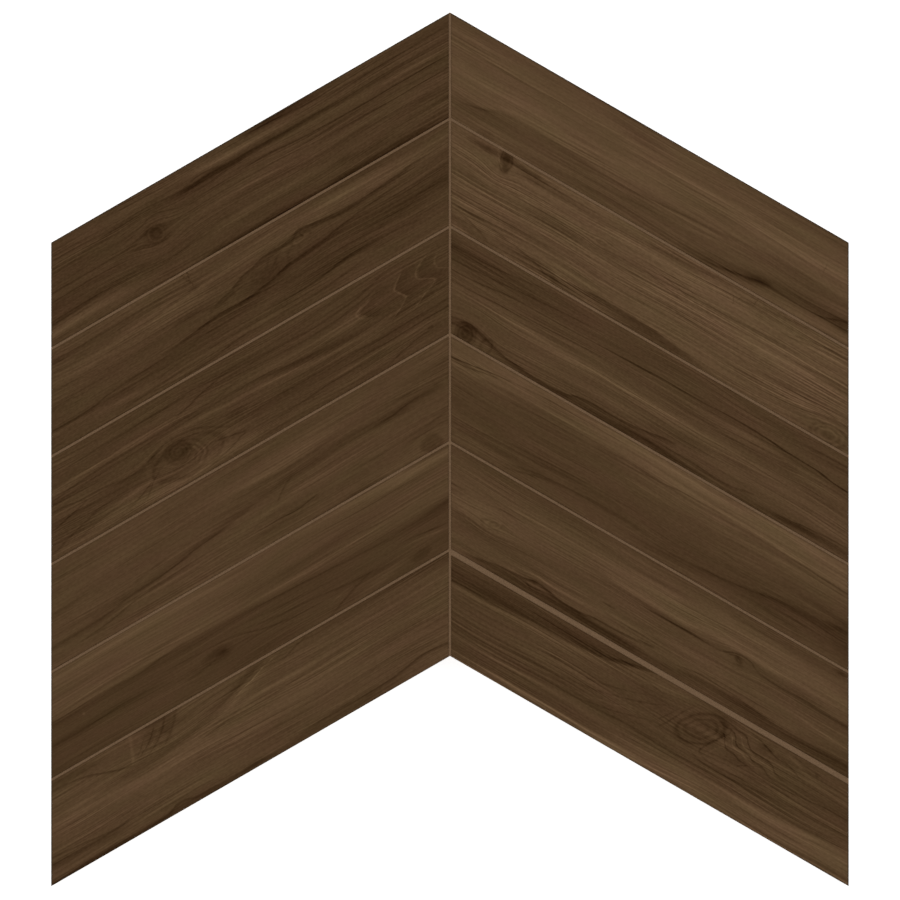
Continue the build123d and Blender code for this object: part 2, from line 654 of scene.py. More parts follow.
def makePlankMaterial(name, side, figure):
    material, tree, shader = startMaterial(name + "Porcelain", porcelainSetup)
    seed = figure["seed"]
    low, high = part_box(name)
    place = placeGroup(tree, groups["place"], **{
        "Corner": (low.x if side > 0 else high.x, high.y, 0.0),
        "Along Direction": (side * slopeCos, -slopeSin, 0.0),
        "Across Direction": (-side * slopeSin, -slopeCos, 0.0),
    })
    along, across = place["Along"], place["Across"]
    flowing = placeGroup(tree, groups["flow"], Along=along, Across=across, Seed=seed,
                         Meander=figure.get("meander", usualMeander))
    flow = flowing["Flow"]
    for knot in figure["knots"]:
        if "push" in knot:
            flow = placeGroup(tree, groups["bend"], **{
                "Along": along, "Across": across, "Flow": flow,
                "Middle Along": knot["at"][0], "Middle Across": knot["at"][1],
                "Reach Along": knot["reach"][0], "Reach Across": knot["reach"][1],
                "Push": knot["push"]})["Flow"]
    even = placeGroup(
        tree, groups["fibre"], Along=along, Across=across, Flow=flow, Seed=seed,
        Cloud=figure["cloud"], Bands=figure["bands"], Fibres=figure["fibres"],
        Pores=figure["pores"], Lines=figure["lines"])
    tone = calc(tree, "ADD", even["Tone"], figure["tone"])
    streaks = even["Streaks"]
    tone = total(
        tree, tone,
        *(addStroke(tree, stroke, along, flowing["Frayed Across"], streaks)
          for stroke in figure["strokes"]),
        *(addStroke(tree, stroke, across, flowing["Frayed Along"], streaks)
          for stroke in figure.get("crossStrokes", [])),
        *(addKnot(tree, knot, along, across, seed + number)
          for number, knot in enumerate(figure["knots"])),
    )
    wood = placeGroup(tree, groups["colour"], Along=along, Across=across, Seed=seed,
                      Tone=tone)["Colour"]
    # painted shade along the sheet's outer edges: the print is blended towards a darker, greyer
    # colour where the outward bevels would be in shade
    outward = calc(tree, "SUBTRACT", calc(tree, "MULTIPLY", along, slopeCos),
                   calc(tree, "MULTIPLY", across, slopeSin))
    rim = scaled(tree, outward, *porcelainSetup["edgeShadeSpan"])
    if name.endswith("1"):
        rim = calc(tree, "MAXIMUM", rim, scaled(tree, across, *porcelainSetup["topEdgeShadeSpan"]))
    rim = calc(tree, "MULTIPLY", rim, porcelainSetup["edgeShadeShare"])
    wood = blended(tree, rim, wood, porcelainSetup["rim"])
    body = placeGroup(tree, groups["body"], **{
        "Above": place["Above"], "Face Height": faceHeight / mm})
    colour = blended(tree, body["Printed"], body["Body Colour"], wood)
    feed(tree, shader.inputs["Base Color"], colour)
    roughness = scaled(tree, streaks, -1, 1, *porcelainSetup["roughnessSpan"])
    feed(tree, shader.inputs["Roughness"], roughness)
    relief = calc(tree, "MULTIPLY", even["Relief"], body["Printed"])
    unprinted = calc(tree, "SUBTRACT", 1.0, body["Printed"])
    relief = calc(tree, "ADD", relief, calc(tree, "MULTIPLY", body["Relief"], unprinted))
    addRelief(tree, shader, relief, porcelainSetup)
    coverPiece(name, material)


# the figure of each plank, counted from the point down, in millimetres along it and across it
# from its upper corner at the seam; strokes run along the plank, crossStrokes across it
# cloud, bands, fibres, pores and lines are the strengths of the even layers, in tones
# fibres within reach of a knot are pushed apart round it

plankLeft1 = {
    "seed": 1.3, "tone": 55.4, "cloud": 1.5, "bands": 2, "fibres": 6, "pores": 5, "lines": 2,
    "knots": [
        {"at": (171.5, 21.2), "size": (3.4, 3.2), "reach": (11, 8), "push": 0.8, "rings": [(0, -8),
         (0.25, -7), (0.6, -12), (0.85, -8), (1.1, -1), (1.3, -5), (1.6, -2), (2.2, 0)]},
        {"at": (171, 21), "size": (9, 6), "rings": [(0, -4), (0.6, -3), (1, 0)]},
    ],
    "strokes": [
        (1.6, 1.6, [(66, 3.6), (84, 3, -6), (100, 2.6, -6), (112, 2.4)]),
        (1, 1.4, [(112, 11), (126, 10.8, -7), (142, 10.8, -7), (156, 10.6)]),
        (3, 3, [(168, 22), (180, 23, -4), (200, 23)]),
        (2, 2, [(12, 14), (28, 14, 5), (48, 14)]),
        (3, 3, [(104, 15.6), (124, 15.6, -5), (146, 16, -4), (162, 17)]),
        (4, 4, [(194, 37.6), (222, 36.8, 6), (246, 37, 6)]),
        (2, 2, [(84, 6.4), (98, 6, 10), (128, 6, 9), (146, 5.4)]),
        (8, 8, [(10, 22), (60, 22, 3), (120, 22, 4), (150, 22)]),
        (4, 4, [(172, 16), (190, 16, -4), (212, 16, -3), (226, 17)]),
        (4, 3, [(100, 3.4), (125, 4, 5), (160, 4.6, 5), (225, 4.4, 4)]),
        (0.5, 3, [(72, 0.2), (84, 0.3, -15), (98, 0.4, -18), (108, 0.3, -10), (116, 0.2)]),
        (0.7, 1, [(-2, 4.6), (8, 4.8, -6), (45, 5.4, -7), (68, 4.6, -7), (88, 3.2, -10),
            (104, 2, -12), (116, 1.2)]),
        (0.8, 0.8, [(4, 7.8, 3), (30, 7.6, 6), (60, 7.6, 6), (84, 7.4)]),
        (1.4, 2.2, [(-4, 9.6, -4), (20, 9.8, -8), (55, 10.2, -10), (75, 10, -15), (100, 9.9, -17),
            (122, 9.8, -19), (134, 9.4, -21), (146, 9.9, -22), (156, 9.5, -15), (168, 8.4, -10),
            (182, 9, -9), (198, 11, -5), (214, 13)]),
        (0.6, 1, [(126, 9), (133, 7.8, -8), (139, 7.3, -9), (146, 8.2, -7), (152, 9)]),
        (0.6, 1.4, [(116, 11), (128, 11.6, -8), (140, 12.6, -8), (150, 12, -7), (160, 11)]),
        (2.5, 2.5, [(8, 13, 2), (50, 13.2, 4), (100, 12.6, 3), (120, 13.4)]),
        (0.4, 0.7, [(6, 16.7), (12, 16.7, -12), (60, 16.9, -13), (88, 16.2, -11), (112, 15, -11),
            (124, 15.2, -6), (138, 15.8, -5), (152, 16.6)]),
        (0.4, 0.7, [(9, 21.9), (14, 21.9, -13), (58, 22.1, -11), (80, 21.2, -6), (114, 19.6, -8),
            (135, 19.4, -4), (150, 20)]),
        (2, 2, [(14, 25.4, 3), (40, 25.6, 5), (70, 25, 3), (90, 25)]),
        (0.5, 0.7, [(20, 29), (30, 28.6, -6), (38, 28)]),
        (0.5, 0.8, [(70, 25.6), (90, 25.2, -5), (118, 25, -3), (130, 25.4)]),
        (3, 3.5, [(78, 33), (98, 32.6, 7), (124, 32.8, 8), (140, 33.4, 5), (150, 34)]),
        (2.5, 3, [(48, 35.6), (66, 36.6, -7), (80, 35.4, -5), (90, 36)]),
        (3, 2, [(20, 43, -16), (50, 43, -24), (80, 43, -24), (94, 43, -22), (104, 42.6, -24),
            (124, 42.8, -24), (146, 43, -22), (160, 44, -10), (175, 45)]),
        (0.8, 1.6, [(24, 40.6), (34, 40.4, -6), (60, 40.4, -8), (84, 40.8, -4), (96, 41)]),
        (0.8, 1.2, [(104, 41), (118, 40.2, -8), (128, 40.8, -6), (136, 39.6, -6), (150, 41, -6),
            (160, 41.6)]),
        (0.5, 0.7, [(172, 22.4), (182, 21, -8), (192, 20.8, -9), (205, 21, -9), (220, 20.6, -9),
            (234, 21, -7)]),
        (0.5, 0.7, [(186, 25.2), (204, 24.6, -6), (216, 24.6, -8), (234, 25, -6)]),
        (0.5, 0.8, [(160, 23.4), (167, 25.6, -6), (174, 25.8, -8), (182, 23.4, -6), (188, 22.4)]),
        (0.5, 0.7, [(146, 17.6), (158, 15.4, -5), (168, 13, -6), (176, 14.6, -5), (184, 17)]),
        (0.5, 0.7, [(150, 19.4), (160, 18, -5), (168, 16, -6), (176, 16.8, -5), (184, 19)]),
        (3, 1.2, [(172, 34.6), (182, 33.4, -6), (196, 32.6, -9), (216, 33, -11), (245, 35.4, -12)]),
        (2.5, 4, [(176, 38.4), (192, 38, 8), (216, 37.6, 10), (245, 39, 10)]),
        (1.2, 1.4, [(150, 31.4), (164, 33.8, -6), (176, 34.8, -5), (188, 33.6)]),
        (5, 5, [(176, 24), (196, 26, -3), (236, 27, -5)]),
    ],
}

plankLeft2 = {
    "seed": 5.9, "tone": 57.6, "cloud": 1.5, "bands": 2, "fibres": 5.2, "pores": 5, "lines": 2,
    "knots": [
        {"at": (88, 12.6), "size": (5, 2.4), "turn": 8, "reach": (9, 5), "push": 0.5,
         "uneven": 0.25, "rings": [(0, 3), (0.4, -5), (0.7, 2), (1, -5), (1.3, 0)]},
        {"at": (109, 18.6), "size": (9, 4), "turn": 10, "reach": (16, 6), "push": 0.6,
         "uneven": 0.22, "rings": [(0, -7), (0.3, -4), (0.5, -7), (0.7, -3), (0.9, -4), (1.25, 0)]},
    ],
    "strokes": [
        (1.2, 1.2, [(6, 9.8, 6), (24, 9.8, 8), (44, 9.6, 4), (60, 9.6)]),
        (1.6, 2, [(60, 4), (82, 4.4, -6), (104, 5.6, -7), (124, 6.8, -5), (140, 7.4)]),
        (0.9, 1.2, [(50, 12.2), (62, 12.6, -7), (80, 11.4, -5), (100, 12.8, -8), (112, 14)]),
        (1.4, 1.6, [(64, 19.6), (80, 20.2, -9), (98, 21.8, -7), (108, 22.8)]),
        (1.8, 2, [(26, 26.8), (44, 27, -5), (62, 26.4, -7), (84, 27.4, -4), (102, 28.2, -6),
            (124, 28.4, -4), (140, 28)]),
        (0.8, 0.9, [(50, 32.4), (62, 32.2, -8), (80, 33, -8), (100, 34.2, -6), (130, 34, -6),
            (152, 34, -5), (170, 34)]),
        (0.8, 0.9, [(204, 33.8), (218, 33.9, -7), (236, 34, -5)]),
        (1.6, 1.8, [(88, 36), (112, 36.4, -5), (142, 36.8, -6), (160, 37)]),
        (1, 1.2, [(104, 39.6), (124, 39.8, -5), (156, 39.8, -5), (170, 40)]),
        (1.6, 1.6, [(68, 8.6), (82, 8.8, 9), (104, 9.4, 9), (122, 10.6, 5), (136, 11)]),
        (1.6, 1.6, [(84, 13.4), (94, 13.4, 7), (104, 14)]),
        (1.3, 1.4, [(126, 7.2), (142, 8.2, -9), (162, 10.4, -9), (178, 11.6)]),
        (2.4, 2.4, [(76, 26), (94, 27, -6), (112, 28)]),
        (2, 2.4, [(136, 14), (158, 15, 8), (184, 15.6, 5), (208, 15.4, 6), (226, 16)]),
        (2, 2, [(14, 7.8), (34, 8.2, 6), (60, 9.4, 5), (78, 9)]),
        (3, 3, [(136, 12), (156, 12.4, 8), (178, 13)]),
        (2, 2.4, [(88, 16), (102, 16, -3), (120, 17, -5), (134, 18.4)]),
        (0.9, 0.9, [(166, 32), (182, 32.2, 7), (204, 32.2, 8), (218, 32.4)]),
        (3, 3, [(120, 0.6), (150, 0.6, 6), (200, 0.8, 6), (222, 1, 4)]),
        (4, 4, [(-4, 23, -8), (20, 24, -9), (50, 24.6, -8), (80, 25, -5), (100, 26)]),
        (3, 3, [(112, 31), (140, 32, -4), (200, 34, -4), (240, 36, -4)]),
        (4, 4, [(-10, 5.4, 4), (30, 6, 10), (60, 5.4, 13), (90, 4.6, 10), (120, 7, 10),
            (150, 9.6, 12), (190, 12, 9), (236, 15, 7)]),
        (0.6, 2.6, [(17, 8.2), (25, 8.6, -9), (34, 9.8, -13), (46, 11, -14), (58, 11.5, -14),
            (70, 11, -13), (80, 9.8, -14), (86, 8.9, -15), (91, 10.6, -11), (98, 11.5, -14),
            (106, 11.6, -12), (113, 13.3, -13), (121, 14.8, -11), (128, 17.3, -12), (138, 20, -9),
            (143, 21.4)]),
        (6, 6, [(-4, 19, -6), (30, 20, -8), (60, 20, -7), (90, 20, -6), (112, 21, -5), (130, 24)]),
        (0.6, 1.4, [(24, 12.8), (40, 14.2, -7), (56, 15.8, -9), (76, 18.6, -10), (92, 20, -9),
            (104, 22)]),
        (2.4, 2.4, [(12, 26.6), (30, 27.4, -4), (48, 26, -3), (66, 25)]),
        (3.6, 3.6, [(52, 30), (66, 30.6, -9), (82, 30.6, -12), (94, 31.6, -8), (108, 33, -5),
            (118, 34)]),
        (0.5, 1.4, [(34, 33.4), (46, 31.8, -9), (60, 31, -12), (72, 31.2, -13), (86, 33.2, -9),
            (106, 34.6, -7), (122, 35)]),
        (0.4, 0.5, [(40, 33.6), (50, 32.7, 7), (62, 32.2, 8), (72, 32.6, 5), (78, 33.4)]),
        (0.6, 0.9, [(64, 36.6), (78, 37.8, -7), (92, 38.9, -9), (116, 39.4)]),
        (0.6, 1.8, [(96, 19), (101, 21.4, -12), (110, 23.2, -15), (124, 24.7, -17),
            (140, 24.9, -17), (150, 26, -15), (160, 27.2, -12), (174, 27.6)]),
        (2.6, 3.6, [(96, 24), (112, 25.4, -7), (135, 27.4, -6), (160, 29, -5), (190, 31, -3),
            (215, 32)]),
        (0.5, 0.8, [(112, 20.6), (122, 18.6, -9), (130, 19.6, -9), (138, 21.4)]),
        (1.4, 1.4, [(140, 20), (147, 18.9, -8), (156, 19, -8), (165, 19.8)]),
        (1.4, 2.6, [(148, 4.4), (170, 5, -6), (196, 5.4, -8), (222, 5.6, -9)]),
        (2.4, 2.4, [(146, 22.6), (175, 22, -3), (205, 23, -4), (232, 24, -3)]),
        (0.5, 0.9, [(118, 29), (134, 29.4, -6), (160, 29.4, -4), (190, 30.6, -8), (204, 31.4, -9),
            (213, 33, -10), (240, 33.4, -9)]),
        (0.5, 0.8, [(166, 33.6), (185, 33.2, -8), (200, 33.4, -8), (214, 33)]),
        (2.6, 1.2, [(166, 31.8), (190, 32.2, -5), (220, 32.4, -5), (240, 32.6, -4)]),
        (0.5, 0.9, [(126, 38.6), (142, 39.8, -8), (152, 41.2, -7), (172, 41.4, -6), (192, 40.6, -9),
            (206, 42)]),
        (0.5, 0.8, [(150, 36), (166, 35.4, -6), (176, 36.4, -5), (190, 37.8)]),
        (2.6, 3, [(178, 37.4), (200, 37.2, 6), (216, 35.4, 6), (246, 36, 4)]),
    ],
    "crossStrokes": [
        (0.6, 0.7, [(-1, 142.4, -9), (2, 142.8, -10), (4.5, 143.6, -9), (6.4, 143, -9),
            (8.6, 143.6)]),
        (1, 1, [(-1, 145.6, -5), (3, 144.6, -6), (6, 144)]),
        (3.4, 6, [(7.6, 143), (8.5, 143, -9), (9.4, 143)]),
        (0.8, 1.2, [(8.8, 84.6), (10.4, 86.6, -7), (12.2, 87, -8), (13.6, 85.4)]),
        (0.9, 1.8, [(11, 90), (13.4, 92.4, -4), (16.4, 96.6, -5), (19, 98, -5), (22, 103)]),
        (0.9, 1.8, [(13, 98), (15.6, 102.6, -5), (17.8, 105.6, -5), (20.4, 112)]),
        (0.9, 1.6, [(12, 103), (15, 107, -4), (17.4, 109.4, -4), (19.4, 116)]),
    ],
}

plankLeft3 = {
    "seed": 9.2, "tone": 56.1, "cloud": 1.5, "bands": 2.5, "fibres": 5.4, "pores": 5, "lines": 2.4,
    "knots": [
        {"at": (163, 27.6), "size": (5.4, 4.8), "reach": (17, 9), "push": 0.85, "rings": [(0, -2),
         (0.2, 1), (0.4, -5), (0.58, 0), (0.78, -6), (0.95, -1), (1.12, -5), (1.35, 0), (1.6, 0)]},
        {"at": (163, 27), "size": (8, 6), "rings": [(0, -5), (0.6, -4), (1, 0)]},
        {"at": (162, 31.4), "size": (12, 8), "fade": (168, 152), "rings": [(0.4, 0), (0.52, -6),
         (0.62, 3), (0.74, -7), (0.84, 3), (0.96, -6), (1.06, 0)]},
        {"at": (160, 31.6), "size": (20, 9), "rings": [(0, 0), (0.8, 0), (0.93, -6), (1.02, 1),
         (1.2, 0)]},
        {"at": (130, 25), "size": (7, 2), "rings": [(0, -6), (0.6, -5), (1, 0)]},
        {"at": (30.5, 36), "size": (1.6, 0.8), "reach": (4, 2.5), "push": 0.6, "rings": [(0, -12),
         (0.7, -7), (1.1, 0)]},
        {"at": (174.5, 24), "size": (4.4, 1.8), "turn": 25, "rings": [(0, -8), (0.6, -5),
         (1.1, 0)]},
    ],
    "crossStrokes": [
        (11, 0.6, [(3, 8), (6, 15, -4), (8.5, 20, -5), (11, 22.6, -5), (13.4, 22.4, -5),
            (15.4, 19, -5), (17.4, 16.2, -5), (19, 18.4, -6), (21.2, 24, -6), (23, 28.4, -5),
            (24.6, 30)]),
        (0.6, 1.2, [(5, 14), (7, 18.8, 8), (9, 22.4, 9), (11.4, 24.4, 9), (13.4, 24, 9),
            (15.4, 20.4, 9), (17.4, 17.6, 8), (19, 20, 9), (21.2, 25.6, 9), (23.6, 30.6, 6),
            (25.4, 37)]),
        (12, 0.7, [(4, 26), (6.4, 29, -5), (9, 32, -6), (11.6, 35, -6), (13.2, 35.6, -6),
            (15.4, 33.6, -6), (17.2, 32.4, -6), (19.4, 34.4, -6), (21.6, 38.6, -6), (23.6, 43, -5),
            (25.4, 46)]),
        (0.6, 1.4, [(6, 27.6), (9, 33, 8), (11.6, 36, 9), (13.2, 36.4, 8), (15.4, 34.4, 9),
            (17.2, 33.4, 9), (19.4, 35.4, 9), (21.6, 39.6, 9), (24, 45)]),
        (12, 0.5, [(6, 42), (8.6, 45, -5), (10.6, 48.6, -6), (12.4, 53.6, -7), (14, 56.4, -8),
            (15.6, 54.6, -7), (17.2, 53.4, -7), (18.8, 50.6, -6), (20.4, 48)]),
        (0.5, 1.6, [(8, 46), (10, 49.6, 6), (12, 55.6, 8), (14, 58, 7), (16, 56.6, 5), (18, 53)]),
        (0.6, 1.4, [(5, 6), (8, 11.4, 6), (10.6, 13.6, 7), (13, 13.6, 7), (15, 10.6, 7),
            (17, 8.4, 7), (19, 11, 6), (21.4, 16.4, 5), (23.6, 21)]),
    ],
    "strokes": [
        (2.4, 2.4, [(122, 32), (136, 31.4, 6), (148, 32.4)]),
        (2.4, 2.4, [(170, 34), (182, 33.4, 7), (196, 34)]),
        (1.6, 1.6, [(120, 20), (140, 19, 5), (158, 18, 4), (170, 19)]),
        (3, 3, [(152, 28), (162, 28, -5), (172, 28)]),
        (2.4, 2.4, [(54, 14.6), (66, 14.4, 5), (80, 15)]),
        (5, 5, [(-6, 12, -3), (20, 14, -2), (44, 15, -3), (60, 16)]),
        (0.6, 1.2, [(36, 2.4), (44, 4.4, -6), (56, 7, -8), (70, 8.4, -7), (90, 8.4, -7),
            (124, 8.2, -6), (145, 9.6)]),
        (0.6, 1, [(38, 5.6), (48, 8, -7), (58, 10, -7), (70, 11.4, -8), (92, 11.2, -7),
            (124, 9.8)]),
        (0.5, 0.7, [(40, 9), (50, 11, 5), (58, 12.6, 5), (70, 13.2)]),
        (1.2, 1.2, [(50, 1.8), (70, 3.6, -5), (110, 5.4, -5), (150, 5.8)]),
        (2.2, 2.4, [(54, 15.6), (64, 15.8, 8), (90, 15, 7), (124, 14.4, 4), (160, 13.8, 7),
            (200, 13.8, 8), (230, 14.4, 6)]),
        (1.4, 2.6, [(52, 20.2), (66, 20.4, -8), (80, 19.8, -10), (96, 18.6, -13), (112, 16.6, -9),
            (130, 15.4, -5), (150, 14.6)]),
        (1.4, 1.6, [(44, 22.4), (54, 23.6, 6), (74, 23.4, 6), (98, 21.6, 6), (124, 19.6, 5),
            (150, 19, 5), (180, 20, 4), (200, 21)]),
        (0.9, 1, [(12, 28.4, -6), (50, 28.8, -8), (80, 28, -7), (124, 28.4, -5), (145, 30)]),
        (2.4, 2.4, [(14, 30, -3), (60, 30, -4), (110, 29.6, -4), (134, 30)]),
        (0.4, 0.6, [(14, 31.2, -9), (60, 31.8, -8), (110, 31)]),
        (0.5, 0.6, [(14, 33.2, 5), (40, 33.4, 7), (72, 33.6, 5), (90, 34.4)]),
        (0.5, 0.7, [(18, 36.4), (34, 37.2, -8), (46, 38.8, -9), (58, 42.4)]),
        (0.5, 0.9, [(60, 34.8), (84, 35, -9), (104, 36.2, -8), (122, 37)]),
        (0.5, 0.8, [(118, 5.8), (132, 7.4, -8), (144, 9.8, -10), (150, 11.4, -12), (156, 12.6)]),
        (0.6, 1, [(118, 11.8), (140, 14.4, -8), (160, 15.4, -8), (190, 15.4, -8), (228, 18.2, -8)]),
        (0.5, 0.8, [(120, 15.4), (150, 16.8, -6), (178, 17.2, -6), (210, 18.6, -6),
            (230, 19.6, -5)]),
        (0.5, 0.8, [(130, 4.8), (160, 6.4, -6), (200, 7.2, -7), (222, 8, -6)]),
        (0.5, 0.6, [(150, 12), (180, 12.8, 6), (222, 14, 7)]),
        (0.8, 1.4, [(134, 30), (141, 26.4, -6), (147, 23.2, -8), (155, 21, -8), (165, 20.4, -8),
            (172, 22.2, -7), (180, 25.2, -8), (190, 26, -8), (200, 24.8, -7), (210, 23.8, -5),
            (218, 24.4)]),
        (3, 3.6, [(178, 27.4), (192, 28.4, -4), (208, 28.6, -4), (222, 30, -4), (234, 31)]),
        (0.5, 0.7, [(128, 34.8), (133, 34, -9), (142, 32.4, -8), (152, 31)]),
        (0.5, 0.7, [(128, 34.6), (134, 36, -9), (143, 38.8, -8), (156, 41, -6), (172, 41.4)]),
        (5, 6, [(122, 40.4), (138, 38.4, 12), (152, 39, 13), (166, 41, 12), (182, 39.4, 13),
            (196, 38, 13), (212, 39, 11), (230, 40.4, 5), (244, 42)]),
        (1.2, 1.2, [(184, 33.2), (194, 34, 6), (206, 35.2, 4), (214, 36)]),
        (0.5, 0.9, [(178, 32.6), (184, 35, -9), (191, 37.4, -8), (200, 39)]),
        (0.5, 0.9, [(174, 30.4), (180, 33.8, -6), (184, 37, -6), (190, 40)]),
        (0.7, 1, [(186, 31.4), (206, 31.6, -5), (220, 34.6, -7), (236, 39.4, -6)]),
        (0.6, 0.9, [(200, 35.6), (214, 37.6, -6), (228, 41)]),
        (0.5, 0.8, [(211, 25.4), (217, 23.6, -9), (230, 22.6, -6)]),
        (0.5, 0.8, [(211, 25.4), (217, 27, -9), (232, 30, -6)]),
    ],
}

plankLeft4 = {
    "seed": 14.7, "tone": 61.7, "cloud": 1.5, "bands": 1.6, "fibres": 4.2, "pores": 3.5, "lines": 1,
    "knots": [
        {"at": (32, 40), "size": (5.4, 4), "reach": (9, 6), "push": 0.6, "uneven": 0.12,
         "rings": [(0, -11), (0.5, -8), (0.8, -9), (1.2, 0)]},
    ],
    "strokes": [
        (1.4, 1.4, [(22, 20.6), (36, 20.4, -7), (62, 20, -5), (78, 20)]),
        (1.4, 1.4, [(80, 14.4), (96, 14.8, 6), (112, 15)]),
        (2, 2, [(16, 31), (34, 31, -5), (58, 31)]),
        (2, 2, [(104, 34), (140, 36, 4), (180, 37, 4), (200, 38)]),
        (2.4, 2.4, [(160, 14), (180, 14, 5), (200, 14.6)]),
        (3, 3, [(62, 12), (80, 12, 6), (104, 13, 5), (122, 14)]),
        (4, 4, [(4, 10, -4), (20, 10, -5), (38, 10)]),
        (2, 2, [(140, 32.6), (165, 33, -5), (190, 33.6, -5), (206, 34)]),
        (4, 4, [(50, 9.6), (75, 9.4, 4), (120, 10.6, 5), (160, 12, 3), (200, 15, 4), (232, 17, 4)]),
        (6, 6, [(-8, 13, -4), (14, 15, -4), (34, 16, -3), (60, 16)]),
        (3, 3, [(52, 2), (74, 3.4, -3), (100, 3, -2), (140, 2)]),
        (0.4, 0.7, [(24, 13.9), (31, 13.8, -8), (40, 13.8)]),
        (0.4, 0.8, [(26, 17.6), (34, 18.2, -10), (42, 19, -9), (52, 18.6)]),
        (2.6, 2.4, [(12, 18), (28, 18.2, -12), (46, 18.6, -12), (62, 18, -10), (74, 18.8, -9),
            (86, 19.4, -11), (97, 19.8, -12), (108, 21.2, -9), (124, 22.6, -8), (146, 25.8, -8),
            (162, 28, -8), (176, 29.8, -7), (194, 31.4, -5), (220, 32.6)]),
        (3.4, 3.4, [(66, 15.6), (90, 16.2, -4), (116, 17.4, -5), (134, 19.6)]),
        (0.6, 1.2, [(96, 20), (101, 21.8, -7), (106, 25, -6), (110, 28)]),
        (2.2, 2.2, [(44, 24.4), (60, 25.4, 4), (84, 26, 5), (108, 28.6, 4), (136, 31.6, 4),
            (160, 33.4, 4), (186, 36, 3), (204, 38)]),
        (0.6, 1, [(16, 30), (23, 30.4, -7), (30, 30.6)]),
        (0.5, 1, [(18, 33.6), (26, 33.2, -8), (36, 33.4, -7), (50, 33)]),
        (1, 1.4, [(50, 32.4), (60, 32, -4), (72, 32.4)]),
        (0.4, 0.6, [(86, 33.2), (93, 34, -9), (103, 35.2, -12), (112, 34.6, -9), (126, 35)]),
        (1.8, 1.8, [(84, 34.4), (98, 34.4, -4), (116, 35.2, -4), (132, 36)]),
        (0.7, 0.8, [(120, 23.4), (134, 25, -5), (146, 26.4, -8), (160, 28.2, -10), (172, 30, -10),
            (182, 30.8, -5), (190, 31)]),
        (0.6, 0.9, [(176, 30), (188, 30.8, -6), (202, 32.6, -8), (214, 33.6, -6), (230, 34, -4)]),
        (0.6, 0.9, [(126, 21.4), (148, 22.6, -4), (168, 24, -5), (184, 26.2, -5), (200, 28.4)]),
        (0.6, 0.7, [(164, 31.6), (180, 32.6, 5), (196, 34.2, 5), (212, 35.6)]),
        (0.5, 0.8, [(186, 33.4), (198, 35.4, -7), (210, 37, -7), (226, 38)]),
        (2.2, 3, [(196, 32.6), (212, 33.4, -6), (238, 34.4, -6)]),
        (1.6, 1.8, [(200, 19.2), (212, 19.8, -5), (232, 21.4, -6)]),
        (0.5, 0.8, [(120, 11.8), (150, 12.4, -4), (180, 12.6)]),
        (0.5, 0.8, [(122, 34.6), (140, 35.6, -5), (160, 37, -4), (190, 39.6)]),
        (1.6, 2, [(56, 42.6), (70, 42.2, -12), (88, 42.6, -8), (106, 43)]),
        (2, 3, [(200, 4), (216, 4.5, -4), (226, 5, -4)]),
    ],
}

